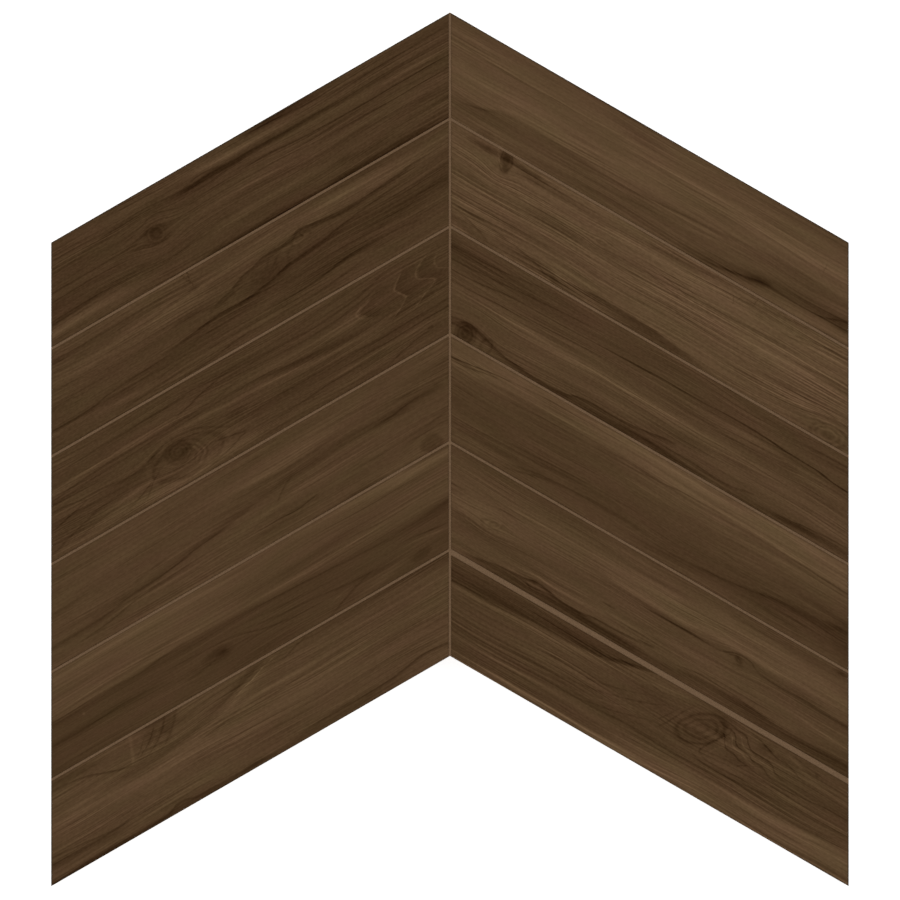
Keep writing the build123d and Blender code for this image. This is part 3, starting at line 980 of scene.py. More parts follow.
plankLeft5 = {
    "seed": 19.1, "tone": 55.5, "cloud": 1.5, "bands": 1.2, "fibres": 3.4, "pores": 3, "lines": 1,
    "knots": [
        {"at": (141.5, 31.6), "size": (3.2, 1.3), "turn": 5, "uneven": 0.3, "reach": (10, 4),
         "push": 0.8, "rings": [(0, -15), (0.5, -11), (0.9, -5), (1.3, 0)]},
        {"at": (143.6, 31.6), "size": (9, 3.6), "rings": [(0, -8), (0.6, -6), (1.1, 0)]},
        {"at": (37, 38.6), "size": (6, 2.2), "turn": 8, "rings": [(0, -7), (0.7, -6), (1.1, 0)]},
        {"at": (212.5, 24), "size": (0.8, 0.9), "rings": [(0, 9), (0.6, 6), (1.2, 0)]},
    ],
    "strokes": [
        (1.6, 1.2, [(66, 17), (90, 16.6, -6), (116, 16.8)]),
        (2, 2, [(140, 14.4), (162, 15, -6), (190, 17.4, -5), (236, 18.4, -6)]),
        (2, 1.6, [(-6, 0.6, -7), (12, 0.6, -7), (28, 0.6)]),
        (2, 2, [(4, 5.4), (20, 5, 6), (40, 5)]),
        (3, 3, [(180, 10), (200, 10, -3), (226, 10)]),
        (60, 2.4, [(-10, 19, 11), (14, 19.6, 10), (32, 20, 10), (46, 20.4, 9), (62, 20.6, 8),
            (80, 20, 8), (105, 18.8, 9), (130, 17.9, 12), (160, 17.6, 13), (190, 18.2, 12),
            (240, 18.6, 13)]),
        (3, 4, [(-10, 2, 9), (40, 2, 9), (90, 1, 7), (130, 2, 7), (180, 2, 7), (230, 3, 8)]),
        (3.4, 3.4, [(20, 11), (50, 12, -4), (85, 14, -8), (112, 14, -5), (132, 14)]),
        (0.5, 0.8, [(28, 15.4), (42, 15.8, -7), (58, 15.4, -5), (72, 15.8)]),
        (0.5, 0.6, [(42, 16.8), (54, 17.6, 6), (80, 18.8, 6), (100, 18.4, 6), (118, 17.8)]),
        (1.6, 5, [(6, 22.6, -4), (18, 23.4, -8), (34, 24, -4), (48, 24)]),
        (1.4, 3, [(56, 24), (74, 23.4, -2), (100, 22.4, -3), (130, 21.2, -4), (170, 21.2, -4),
            (234, 21.8, -6)]),
        (0.5, 0.9, [(40, 25.4), (56, 24.2, -6), (84, 22.8, -6), (118, 21, -5), (140, 20.4)]),
        (0.5, 0.8, [(16, 31.8), (24, 31.4, -8), (30, 30.6, -11), (36, 29.6, -7), (46, 28.8)]),
        (0.5, 0.8, [(16, 34.2), (24, 33.2, 5), (34, 31.8, 5), (50, 30.4)]),
        (0.6, 1, [(50, 35.2), (62, 34.2, -5), (76, 33, -7), (88, 31.6, -7), (104, 30, -6),
            (116, 29, -6), (128, 26.8)]),
        (0.6, 1.2, [(76, 28), (92, 27.2, -4), (110, 26, -5), (126, 24.6)]),
        (0.6, 1.2, [(60, 33.6), (68, 35.4, -6), (76, 37.8, -7), (84, 40.6, -6), (92, 43)]),
        (2.4, 2.6, [(42, 37), (54, 38.4, 7), (66, 40, 6), (76, 41.6)]),
        (0.6, 0.6, [(72, 34.8), (80, 36, 6), (86, 37.4)]),
        (0.5, 0.5, [(94, 37), (100, 36.6, 6), (106, 36.4)]),
        (0.6, 1, [(86, 35), (98, 34.4, -7), (110, 33.2, -7), (120, 31.4, -8), (128, 29.2, -6),
            (136, 27.8)]),
        (0.6, 0.7, [(116, 33), (128, 29.8, 4), (138, 28, 4), (156, 27)]),
        (0.6, 0.9, [(124, 29), (136, 27.2, -6), (152, 26.6, -6), (172, 26.2)]),
        (0.6, 1, [(120, 32.8), (130, 31.6, -6), (138, 31.4, -4), (142, 31.6)]),
        (0.5, 1, [(144, 32.4), (150, 33.8, -6), (158, 34.4, -5), (166, 34.6)]),
        (0.5, 1, [(150, 18.6), (166, 19.2, -7), (180, 20.4, -5), (196, 20, -6), (232, 20.2, -7)]),
        (3.4, 3.4, [(164, 30.4), (184, 30.2, -5), (206, 30, -6), (240, 30.4, -7)]),
        (0.5, 1, [(176, 29.8), (196, 29.4, -5), (216, 30.4, -5), (240, 29.6, -5)]),
        (2.4, 2.4, [(188, 40.6), (206, 40.8, -4), (236, 41, -5)]),
        (2.4, 2.4, [(100, 40), (124, 40, -4), (144, 41)]),
    ],
}

plankLeft6 = {
    "seed": 26.4, "tone": 63, "cloud": 1.5, "bands": 2.2, "fibres": 6.2, "pores": 4, "lines": 1.6,
    "knots": [
        {"at": (158, 0.5), "size": (13, 8), "turn": 12, "reach": (18, 10), "push": 0.6,
         "uneven": 0.2, "rings": [(0, -10), (0.5, -8), (0.85, -4), (1.2, 0)]},
    ],
    "crossStrokes": [
        (1.6, 1.6, [(-2, 147, -4), (3, 151, -6), (7, 155, -6), (11, 160, -5), (15, 168)]),
        (1.2, 1.2, [(-2, 153.6, -5), (3, 157, -8), (6, 160, -8), (9, 164, -8), (12, 170, -6),
            (14, 174)]),
        (0.8, 1, [(1, 161), (4, 163.6, -8), (7, 167, -9), (9.6, 171.6, -9), (12, 176.4)]),
        (0.7, 0.8, [(3, 167), (6, 170, -7), (8.6, 173, -7), (10.8, 176)]),
        (0.8, 1.2, [(2, 158), (5, 161.4, 4), (8, 165.6, 4), (11, 171)]),
        (1.6, 1.4, [(-1, 173.6, 5), (4, 175, 6), (8, 176.8, 7), (11, 178, 6), (13, 179)]),
    ],
    "strokes": [
        (2, 2, [(64, 13.4), (90, 13.8, 5), (120, 13.6, 6), (134, 14.6)]),
        (2.4, 2, [(134, 11.6), (160, 13.4, 4), (186, 12.6, 5), (204, 13)]),
        (2, 2, [(150, 25), (166, 26, 5), (184, 26)]),
        (1.4, 1.4, [(-4, 25, -6), (20, 25.4, -6), (40, 25.6)]),
        (2, 2, [(194, 17), (206, 16.4, 5), (218, 17)]),
        (2, 2, [(40, 13), (70, 13, 5), (110, 13.4, 7), (128, 15)]),
        (1.5, 3, [(96, 2.6), (112, 7, 6), (128, 11.6, 9), (144, 15, 10), (158, 17, 6), (172, 18)]),
        (4, 4, [(126, 32), (150, 33, 6), (176, 32.6, 5), (190, 32)]),
        (4, 4, [(16, 27), (50, 26.6, 3), (110, 26, 4), (140, 27)]),
        (5, 5, [(-4, 1, -9), (30, 1, -10), (70, 1, -7), (100, 1.5, -4), (118, 2)]),
        (0.6, 0.8, [(74, 0), (82, 1.6, -6), (90, 4, -7), (93, 5)]),
        (0.4, 0.5, [(92, 0.8), (100, 2.8, 9), (112, 6.2, 10), (120, 8.6, 6), (128, 11)]),
        (3.8, 1, [(98, 0), (114, 4.6, -11), (128, 8.6, -9), (142, 12, -6), (156, 14.6, -6),
            (172, 16, -4), (188, 17)]),
        (0.6, 0.9, [(116, 8), (126, 10.6, -6), (138, 13.6, -6), (150, 16, -4), (160, 17)]),
        (0.8, 0.8, [(122, 13), (136, 16.4, 5), (150, 18.6, 6), (166, 20, 6), (190, 21.2)]),
        (0.5, 1.2, [(178, 12.8), (184, 11.4, -10), (191, 9.4, -11), (199, 6.8, -12),
            (207, 5.2, -11), (222, 4.2, -9)]),
        (3, 3, [(186, 4), (197, 3.2, -7), (208, 2.4, -10), (226, 1.6, -10)]),
        (0.5, 0.8, [(118, 12.6), (134, 17.2, -5), (152, 18.8, -5), (170, 18.8, -7), (190, 18.6, -5),
            (206, 18)]),
        (0.5, 0.7, [(44, 16.8), (66, 15.8, -7), (86, 15.8, -7), (104, 16.8, -7), (126, 17.4)]),
        (5, 6, [(50, 15), (80, 20, 5), (120, 21.4, 7), (160, 22, 8), (206, 19, 8), (236, 19, 4)]),
        (3, 3, [(6, 18), (24, 18, 4), (56, 19, 4), (80, 20)]),
        (1.2, 1.4, [(80, 31.6), (110, 31, -5), (124, 31.6, -4), (150, 33)]),
        (0.5, 1.6, [(19, 37.6, -6), (27, 36.4, -11), (36, 35.9, -13), (44, 36.8, -13),
            (52, 37.9, -14), (62, 38.4, -13), (80, 38.1, -12), (96, 38.8, -8), (112, 39.6)]),
        (1.8, 2, [(20, 40.4, 5), (36, 40.6, 4), (56, 41.6)]),
        (2.4, 4, [(46, 40), (70, 40.6, -9), (100, 41, -9), (118, 42, -14), (128, 41.6, -20),
            (140, 42.2, -18), (154, 41.8, -15), (168, 41, -12), (182, 42, -17), (208, 42, -22),
            (245, 43, -22)]),
        (0.6, 1.4, [(142, 41.6), (152, 40.6, -7), (162, 40, -8), (168, 38.8, -9), (176, 40.8, -7),
            (186, 41.6)]),
        (1.4, 1.4, [(120, 36.6), (144, 36.8, 5), (164, 35.6, 6), (184, 36.8, 4), (196, 38.6)]),
        (0.5, 1.2, [(188, 32.2), (196, 34, -8), (205, 34.2, -9), (218, 32.8, -10),
            (238, 31.4, -9)]),
        (1.4, 3.6, [(192, 34.6), (206, 35.2, -11), (222, 34.8, -13), (244, 34, -14)]),
    ],
}

plankRight1 = {
    "seed": 33.8, "tone": 70.6, "cloud": 1.5, "bands": 2, "fibres": 4.8, "pores": 3.4, "lines": 1.2,
    "knots": [
        {"at": (43, 42), "size": (5, 3), "rings": [(0, -7), (0.6, -5), (1.1, 0)]},
        {"at": (188, 37), "size": (7, 2.2), "turn": -12, "reach": (14, 6), "push": 0.5,
         "uneven": 0.15, "rings": [(0, -13), (0.5, -10), (0.9, -5), (1.3, 0)]},
        {"at": (233, 35), "size": (8, 3), "rings": [(0, -9), (0.6, -6), (1.1, 0)]},
    ],
    "crossStrokes": [
        (0.5, 0.5, [(13, 212.6), (16, 213, -6), (19, 212.8)]),
    ],
    "strokes": [
        (1.6, 1.6, [(60, 20.6), (86, 21, -6), (110, 20.6)]),
        (1.6, 1.6, [(96, 8), (108, 8, -6), (122, 8)]),
        (3, 3, [(94, 24.6), (118, 23.6, 5), (140, 23)]),
        (2, 2, [(120, 14), (136, 14, 5), (156, 14)]),
        (2.4, 2.4, [(222, 34.4), (238, 34.6, 9), (250, 34.6, 9)]),
        (2, 2, [(212, 41.8), (228, 41.8, -8), (250, 41.8, -8)]),
        (3, 3, [(84, 5), (106, 5, -5), (122, 5)]),
        (3, 3, [(96, 12), (122, 12.4, 7), (150, 12.6, 6), (174, 13)]),
        (1.6, 1.8, [(116, 30.8), (138, 29.6, 8), (162, 28, 8), (184, 26)]),
        (1, 1.2, [(50, 0.2), (80, 0.3, -10), (106, 0.3, -12), (125, 0.3)]),
        (6, 5, [(-8, 2, -5), (40, 2, -4), (95, 2, -4), (130, 2, -2), (170, 2, -4), (225, 3, -7)]),
        (0.5, 0.6, [(2, 10.2), (14, 10.4, 6), (70, 10.4, 6), (124, 9.8, 3), (160, 10)]),
        (0.4, 0.7, [(8, 11.4), (22, 11.4, -6), (56, 11, -6), (90, 10.8)]),
        (5, 5, [(-6, 20, 5), (40, 21, 5), (90, 22, 5), (120, 18, 5), (170, 16, 7), (226, 15, 6)]),
        (1, 1.2, [(38, 26.6), (48, 26, 7), (60, 25.4, 5), (72, 24.8, 8), (82, 24.6, 7), (94, 25)]),
        (1.4, 18, [(8, 33.6), (18, 33.4, -4), (28, 33.2, -8), (37, 31.4, -9), (46, 29, -9),
            (62, 28.6, -9), (84, 29.2, -9), (104, 30.2, -9), (124, 29.6, -9), (150, 27.6, -8),
            (172, 25.4, -8), (192, 23.8, -8), (214, 24.2, -8), (240, 26, -9)]),
        (0.5, 0.8, [(16, 34), (26, 33.8, -6), (36, 32, -7), (44, 29.6)]),
        (4, 5, [(36, 41), (80, 40, -6), (120, 39.4, -6), (160, 39.4, -6), (190, 39)]),
        (0.6, 0.9, [(60, 33.4), (78, 34, -4), (104, 34.6, -5), (126, 33.8, -4), (150, 31)]),
        (0.8, 0.8, [(92, 32), (104, 32, 6), (116, 31.4, 6), (128, 31)]),
        (0.5, 0.7, [(120, 29.2), (136, 28.2, -5), (152, 27)]),
        (1, 1, [(128, 33.4), (146, 32, 5), (168, 30, 5), (186, 28.2)]),
        (0.6, 1.4, [(152, 41.4), (164, 41, -8), (174, 39.6, -11), (184, 38, -13), (192, 36.6, -11),
            (200, 36.8, -8), (210, 37.4, -7), (222, 36.8, -9), (244, 36.6, -10)]),
        (6, 6, [(144, 41.8), (168, 39.8, -11), (190, 36.4, -15), (212, 34.8, -16),
            (246, 34.8, -16)]),
        (0.6, 1, [(216, 37.4), (224, 36.2, -8), (232, 33.6, -9), (242, 33, -6)]),
        (1.2, 2.4, [(196, 41.2), (214, 41.2, 6), (232, 40.8, 8), (248, 41, 5)]),
        (0.5, 0.8, [(120, 14.6), (146, 15, -5), (176, 13.6)]),
        (0.5, 0.8, [(150, 18.8), (166, 18.4, -4), (186, 18.2)]),
    ],
}

plankRight2 = {
    "seed": 41.5, "tone": 70.4, "cloud": 1.5, "bands": 2.4, "fibres": 10, "pores": 5, "lines": 2.4,
    "meander": 0.5,
    "knots": [
        {"at": (31.6, 3.4), "size": (3.6, 6), "turn": -24, "uneven": 0.12, "reach": (8, 8),
         "push": 0.7, "rings": [(0, -18), (0.35, -20), (0.6, -12), (0.8, -16), (0.95, -6),
         (1.2, 0)]},
        {"at": (33.6, 7), "size": (2.2, 3), "turn": -24, "rings": [(0, -10), (0.6, -7), (1.1, 0)]},
        {"at": (46, 3), "size": (9, 3), "turn": 8, "uneven": 0.2, "rings": [(0, -7), (0.6, -5),
         (1.1, 0)]},
        {"at": (20, 3), "size": (6, 1.8), "uneven": 0.2, "rings": [(0, -7), (0.6, -5), (1.1, 0)]},
        {"at": (228, 39.4), "size": (9, 4.6), "turn": -6, "reach": (13, 7), "push": 0.7,
         "rings": [(0, -4), (0.3, -6), (0.5, 2), (0.7, -7), (0.86, 1), (1, -6), (1.2, 0)]},
        {"at": (90, 14.4), "size": (3.4, 1.6), "reach": (6, 3), "push": 0.7, "rings": [(0, 4),
         (0.6, -4), (1, 2), (1.3, 0)]},
    ],
    "crossStrokes": [
        (0.5, 1.4, [(1, 25.8), (3, 27.4, 8), (5.4, 29.4, 9), (8, 32, 8), (9.6, 33.6)]),
        (0.5, 0.5, [(0, 167.6, -8), (3, 167, -7), (5, 166.6)]),
        (0.4, 0.4, [(4, 156.4), (6.5, 157.4, -8), (9, 158.6)]),
        (0.4, 0.4, [(3, 160), (5, 159.6, -7), (6.6, 159)]),
    ],
    "strokes": [
        (1.2, 1.2, [(34, 5), (50, 5.4, -6), (66, 5.6, -4), (80, 6)]),
        (2, 2, [(78, 8.4), (92, 8.4, 6), (106, 8.4)]),
        (1.2, 1.4, [(84, 5.6), (104, 5.4, -6), (130, 5.6, -7), (148, 6)]),
        (2, 1.4, [(126, 0.8), (146, 0.8, 5), (168, 1)]),
        (1.2, 1.4, [(150, 19.6), (166, 19, -8), (190, 18.4, -7), (216, 16.4, -6), (236, 15.4)]),
        (2, 1.6, [(156, 23.6), (186, 23, 5), (214, 22.4)]),
        (2.4, 2.4, [(50, 18.6), (66, 19, -6), (84, 19)]),
        (2, 2, [(66, 42.6), (78, 42.6, 7), (90, 42.6)]),
        (3, 3, [(54, 15.6), (68, 16.4, -5), (84, 17)]),
        (2, 2, [(108, 17.6), (124, 18, -6), (142, 18)]),
        (3, 3, [(164, 36), (190, 35.4, -5), (216, 35)]),
        (3, 4, [(100, 42), (124, 41.6, -7), (152, 42)]),
        (3, 3, [(114, 21.6), (140, 21, 8), (170, 20.6, 8), (196, 20.6, 4), (216, 21)]),
        (3, 3, [(172, 13), (196, 12.4, -6), (230, 13, -7)]),
        (3, 3, [(186, 34), (210, 34.4, 5), (236, 35, 4)]),
        (3, 3, [(84, 6.4), (96, 6.4, 5), (150, 7, 5), (170, 8)]),
        (16, 16, [(-10, 20, -6), (14, 22, -5), (40, 22, -3), (70, 22)]),
        (14, 14, [(100, 14), (140, 14, 4), (180, 14, 6), (230, 14, 5)]),
        (2, 2.2, [(8, 2.8), (22, 3, -12), (40, 3, -10), (60, 3.8, -9), (74, 4, -6), (86, 3.8)]),
        (1.6, 1.8, [(44, 8.4), (56, 8.6, 5), (80, 9, 4), (96, 9.4)]),
        (0.8, 1, [(30, 28.4), (42, 28.8, -8), (58, 28.6, -9), (76, 28.6, -6), (92, 28.2)]),
        (3, 3, [(26, 28), (50, 28.4, -4), (84, 28.4, -3), (110, 28)]),
        (0.6, 1.2, [(14, 33), (24, 33, -7), (44, 34.4, -8), (60, 36.8, -9), (70, 39, -9),
            (76, 41.4)]),
        (3, 4, [(40, 38), (56, 38.8, -12), (74, 38.6, -16), (84, 42, -10), (96, 42)]),
        (0.6, 1.2, [(18, 34.8), (28, 35.6, -8), (38, 38.4, -9), (45, 41.4)]),
        (4, 4, [(10, 38, -8), (26, 39, -12), (40, 41, -10), (54, 43)]),
        (0.8, 7, [(62, 42), (80, 39.6, -12), (96, 38, -16), (112, 37.4, -18), (128, 37.6, -17),
            (146, 39.6, -14), (168, 42)]),
        (0.4, 0.5, [(44, 14.4), (49, 14.8, 10), (56, 14.9)]),
        (2.6, 3, [(48, 18), (64, 18.2, -6), (84, 18, -6), (104, 17.4, -4), (120, 17)]),
        (0.4, 0.5, [(4, 13.4, 4), (40, 13.2, 6), (70, 13)]),
        (0.4, 0.6, [(4, 21.2, 4), (50, 21.6, 6), (90, 21.4, 5), (120, 21)]),
        (0.4, 0.6, [(14, 22.6, -5), (50, 23, -7), (90, 22.8, -7), (124, 22.4)]),
        (0.4, 0.6, [(52, 24.6), (66, 25.2, -7), (90, 25.2, -7), (124, 24.8, -6), (150, 25.4, -6),
            (170, 27)]),
        (0.5, 0.7, [(60, 31), (90, 30.6, 6), (124, 30.4, 5), (150, 31)]),
        (0.5, 0.7, [(108, 11), (124, 13.4, -7), (140, 16.4, -7), (154, 19, -6), (166, 20.6)]),
        (0.5, 0.7, [(104, 13.4), (122, 16.4, -7), (138, 19.4, -7), (150, 21.6)]),
        (0.5, 0.7, [(112, 9.6), (128, 11.4, -6), (146, 14, -6), (168, 15.4, -5), (190, 14.6)]),
        (0.5, 0.7, [(114, 12.4), (132, 15.4, 5), (148, 18.2, 5), (160, 20.2)]),
        (1.4, 1.4, [(146, 2.2), (158, 3.2, -8), (172, 3.4, -9), (184, 2, -8), (200, 0, -5)]),
        (0.5, 0.8, [(178, 10.6), (192, 8.2, -7), (206, 6.4, -7), (220, 5.8, -6)]),
        (0.5, 0.8, [(186, 8), (200, 5.2, -7), (216, 3.4, -7)]),
        (0.5, 0.6, [(190, 10), (204, 8, 6), (218, 7.2, 6)]),
        (0.5, 0.8, [(150, 14.8), (176, 13.6, -6), (204, 13.4, -6), (226, 14.6, -6)]),
        (2, 2.4, [(156, 20), (174, 19.4, 6), (192, 19.4, 5), (212, 20, 4), (230, 21)]),
        (0.5, 0.7, [(160, 28.8), (186, 29.4, -7), (214, 30, -7), (238, 32, -5)]),
        (0.5, 0.8, [(190, 33.6), (206, 34.4, -6), (222, 35.4, -5), (236, 37.6)]),
        (0.5, 0.8, [(150, 36.2), (180, 35.6, 5), (206, 35)]),
        (4, 4, [(118, 41), (134, 41, -4), (160, 42, -4), (186, 42)]),
        (3, 5, [(206, 39), (224, 40, -4), (246, 41, -5)]),
    ],
}

plankRight3 = {
    "seed": 48.2, "tone": 59.9, "cloud": 1.5, "bands": 2, "fibres": 5.8, "pores": 4.5, "lines": 1.4,
    "knots": [
        {"at": (30.5, 39.6), "size": (5.4, 5.2), "turn": 15, "uneven": 0.08, "reach": (12, 9),
         "push": 0.8, "rings": [(0, -16), (0.3, -22), (0.5, -15), (0.68, -19), (0.84, -9),
         (0.98, -10), (1.1, -2), (1.3, 0)]},
        {"at": (42, 40), "size": (3, 4), "uneven": 0.1, "rings": [(0, 0), (0.6, -2), (0.9, -8),
         (1.2, 0)]},
        {"at": (147, 31), "size": (12, 4), "rings": [(0, -5), (0.6, -4), (1.1, 0)]},
        {"at": (194, 18), "size": (5, 4), "reach": (7, 4), "push": 0.5, "rings": [(0, -3),
         (0.7, -2), (1.1, 0)]},
    ],
    "strokes": [
        (1.4, 1.4, [(48, 22.6), (66, 23.4, -4), (96, 23.4, -4), (110, 24)]),
        (2, 1.4, [(116, 43), (130, 43, 7), (150, 43)]),
        (2, 2, [(188, 16.6), (204, 16, 5), (220, 16)]),
        (1.4, 1.4, [(10, 14), (28, 14, -5), (54, 13.4)]),
        (2.4, 3, [(112, 41), (130, 40, -8), (148, 41)]),
        (3, 3, [(96, 33), (114, 33, 5), (132, 32)]),
        (2, 2, [(198, 40.4), (211, 40, -7), (224, 40)]),
        (8, 9, [(-6, 7, -11), (20, 7, -11), (44, 7, -8), (70, 6, -5), (100, 6, -3), (125, 5, -2),
            (220, 6, -2)]),
        (0.5, 0.8, [(-2, 6.8, -9), (20, 6.2, -8), (38, 4.4, -8), (56, 1.6)]),
        (0.5, 0.8, [(4, 12.2, -8), (24, 11.4, -9), (44, 9.6, -8), (66, 7.8, -7), (100, 6.6)]),
        (0.4, 0.5, [(0, 9.6, 5), (20, 9.2, 6), (44, 7.6, 6), (70, 5.8)]),
        (0.5, 0.8, [(8, 16.4, -10), (26, 15.6, -11), (42, 14, -10), (58, 13.2, -7), (80, 12.8, -6),
            (94, 12.3, -12), (106, 12, -16), (124, 11.6, -16), (144, 11.4, -15), (164, 11, -16),
            (177, 11.1, -18), (188, 12, -19), (204, 12.5, -18), (214, 13.5, -20),
            (232, 14.4, -19)]),
        (0.9, 2.6, [(140, 12.6), (170, 12.6, -3), (200, 14, -5), (232, 16, -5)]),
        (1.2, 1.6, [(130, 15.4), (156, 14.6, 5), (182, 14.6, 4), (206, 16)]),
        (0.5, 0.7, [(10, 21, -6), (26, 20.8, -9), (38, 20, -10), (52, 20.2, -6), (76, 20)]),
        (4, 6, [(8, 23.8, 6), (30, 23.8, 8), (56, 24, 10), (80, 24.4, 13), (110, 25, 12),
            (150, 26, 10), (190, 26, 9), (236, 28, 8)]),
        (1.2, 1.2, [(30, 24.2), (46, 23.8, 5), (60, 23.6, 5), (72, 24)]),
        (0.4, 0.5, [(78, 26.4), (92, 26.2, -9), (112, 26.2, -9), (128, 26)]),
        (0.4, 0.5, [(80, 24.4), (94, 24.8, 7), (118, 25, 8), (160, 24.8, 6), (190, 25.2)]),
        (0.4, 0.5, [(110, 25.8), (134, 25.8, -8), (168, 25.4, -8), (194, 25.8, -7), (226, 26)]),
        (0.4, 0.5, [(126, 27.2), (146, 27.2, -6), (166, 27)]),
        (3.5, 4, [(50, 32), (74, 32, 4), (110, 32, 4), (130, 30)]),
        (3, 3.4, [(150, 32.6), (180, 32.4, 5), (236, 33.4, 7)]),
        (0.9, 1.6, [(120, 18), (150, 19, -4), (180, 20, -3), (210, 20)]),
        (0.5, 2.6, [(19, 40.4, -6), (24, 37, -9), (30, 34.8, -10), (36, 35.6, -11), (42, 37.2, -14),
            (50, 39.3, -16), (60, 40.6, -18), (74, 41.2, -18), (84, 40.8, -18), (92, 38.8, -17),
            (100, 38, -16), (118, 37.6, -15), (128, 36.6, -14), (136, 35.6, -13), (144, 34.8)]),
        (2.4, 5, [(34, 43), (50, 42.6, -6), (76, 43.4, -9), (96, 41.6, -14), (118, 41, -18),
            (140, 41.4, -17), (154, 42, -13), (168, 42.6)]),
        (0.5, 1.4, [(128, 37.6), (140, 38.4, -9), (152, 38.4, -9), (164, 39.6, -9), (174, 39.2, -9),
            (182, 38, -8), (188, 37)]),
        (1.4, 3.4, [(164, 41.6), (180, 41.4, -7), (192, 41, -9), (204, 40.2, -12), (218, 39.6, -12),
            (230, 39.4, -9), (246, 40, -7)]),
        (0.5, 0.8, [(194, 40.4), (208, 39, -9), (222, 37.8, -9), (238, 37.4, -6)]),
    ],
}

plankRight4 = {
    "seed": 55.6, "tone": 60.4, "cloud": 1.5, "bands": 1.6, "fibres": 4, "pores": 3.5, "lines": 1,
    "knots": [
        {"at": (229, 27.4), "size": (9, 3.8), "turn": -14, "uneven": 0.2, "reach": (12, 6),
         "push": 0.4, "rings": [(0, -8), (0.5, -6), (0.9, -3), (1.3, 0)]},
        {"at": (236, 35), "size": (12, 6), "turn": 20, "rings": [(0, -3), (0.6, -2), (1.1, 0)]},
    ],
    "strokes": [
        (2, 2, [(-4, 8, -8), (12, 8.6, -8), (22, 9)]),
        (2, 2, [(12, 12), (26, 11.4, 6), (44, 11)]),
        (1.6, 1.6, [(46, 5.6), (60, 5.6, -6), (80, 6.6, -3), (90, 7)]),
        (1.4, 1.4, [(124, 6), (150, 6.6, -6), (190, 7.4, -6), (214, 8)]),
        (3, 3, [(100, 17), (120, 16.6, 5), (140, 16)]),
        (3, 3, [(10, 33), (40, 31.6, 4), (70, 31)]),
        (1.2, 1.2, [(196, 27.6), (214, 27, -6), (236, 26.4)]),
        (3, 2.4, [(110, 9.6), (130, 10, 7), (150, 10.6, 6), (168, 11)]),
        (3, 3, [(12, 35), (30, 35, -5), (56, 35, -4), (70, 34)]),
        (4, 4, [(10, 25), (40, 26, 3), (90, 25.6, 3), (120, 24)]),
        (30, 1.8, [(-8, 10.8, 10), (10, 10.9, 10), (26, 8.9, 11), (45, 7.5, 11), (70, 7.5, 12),
            (100, 7.6, 14), (150, 7.8, 16), (180, 8.6, 16), (205, 9.6, 15), (240, 10.8, 13)]),
        (3, 3, [(0, 1, 3), (60, 2, 2), (120, 3, 2), (180, 3, 2), (226, 3, 3)]),
        (0.4, 0.6, [(2, 8.4, -12), (12, 7.6, -17), (22, 6, -16), (30, 4.9, -12), (38, 4.4)]),
        (0.4, 0.6, [(4, 9.4, -6), (14, 8.8, -10), (24, 7, -10), (32, 6)]),
        (0.4, 0.5, [(34, 4.2), (50, 3.3, -8), (70, 3.2, -8), (88, 3.2, -7), (100, 3.2)]),
        (0.5, 0.8, [(8, 11.2, -5), (24, 9.8)]),
        (0.4, 0.7, [(24, 13.6), (44, 12.6, -5), (70, 11.6, -5), (100, 11.2, -4), (118, 10, -8),
            (134, 9, -9), (150, 8.7, -6), (166, 9)]),
        (0.4, 0.7, [(176, 9.4), (196, 10.6, -6), (212, 11.4, -7), (226, 11.6, -5)]),
        (12, 14, [(-6, 24, -4), (40, 26, -5), (80, 27, -5), (120, 30, -4), (170, 33, -4),
            (240, 34, -7)]),
        (6, 6, [(96, 12), (124, 13, 4), (150, 14, 6), (180, 15, 5), (222, 15, 4)]),
        (0.5, 0.8, [(10, 19.2), (15, 19.4, -6), (24, 19.6)]),
        (0.5, 1.2, [(30, 30.6), (46, 30, -5), (62, 29.4, -6), (74, 28.4, -5), (92, 28)]),
        (0.8, 1, [(20, 34.6), (34, 34.2, 3), (50, 33.4, 3), (70, 32, 3), (90, 30.6)]),
        (0.8, 1.4, [(20, 32.8), (34, 32.4, -6), (52, 31.8, -6), (72, 30.6, -5), (90, 29.4)]),
        (0.6, 1.6, [(52, 38.6), (66, 36, -7), (82, 34.4, -7), (104, 33.8, -8), (128, 34.6)]),
        (0.6, 1.4, [(50, 41.6), (58, 39.6, -7), (66, 37.4, -7), (76, 35.4)]),
        (2, 2.4, [(22, 38.6), (34, 38.6, 4), (48, 38, 4), (58, 36.4)]),
        (1.4, 2.4, [(110, 30), (124, 32, 3), (146, 33)]),
        (0.4, 0.7, [(158, 24), (172, 24.6, -7), (186, 24.2, -6), (198, 24)]),
        (1.2, 4.4, [(112, 38.6), (134, 37.8, -4), (156, 36, -6), (176, 33.8, -7), (194, 31, -7),
            (212, 29.6, -8), (232, 27.4, -8)]),
        (0.5, 0.8, [(150, 36), (164, 35.2, -5), (178, 33.6, -6), (194, 31.4, -6), (206, 30.4)]),
        (0.7, 0.9, [(166, 31.6), (184, 28.8, 3), (204, 27, 3), (224, 25.4)]),
        (1.2, 2, [(172, 37), (186, 36.4, -5), (202, 37.2, -6), (214, 38)]),
        (2.4, 3, [(186, 22.6), (206, 23.4, -6), (228, 24.6, -9)]),
        (4, 5, [(176, 34), (196, 33.6, -4), (220, 33, -4), (244, 34, -4)]),
    ],
}

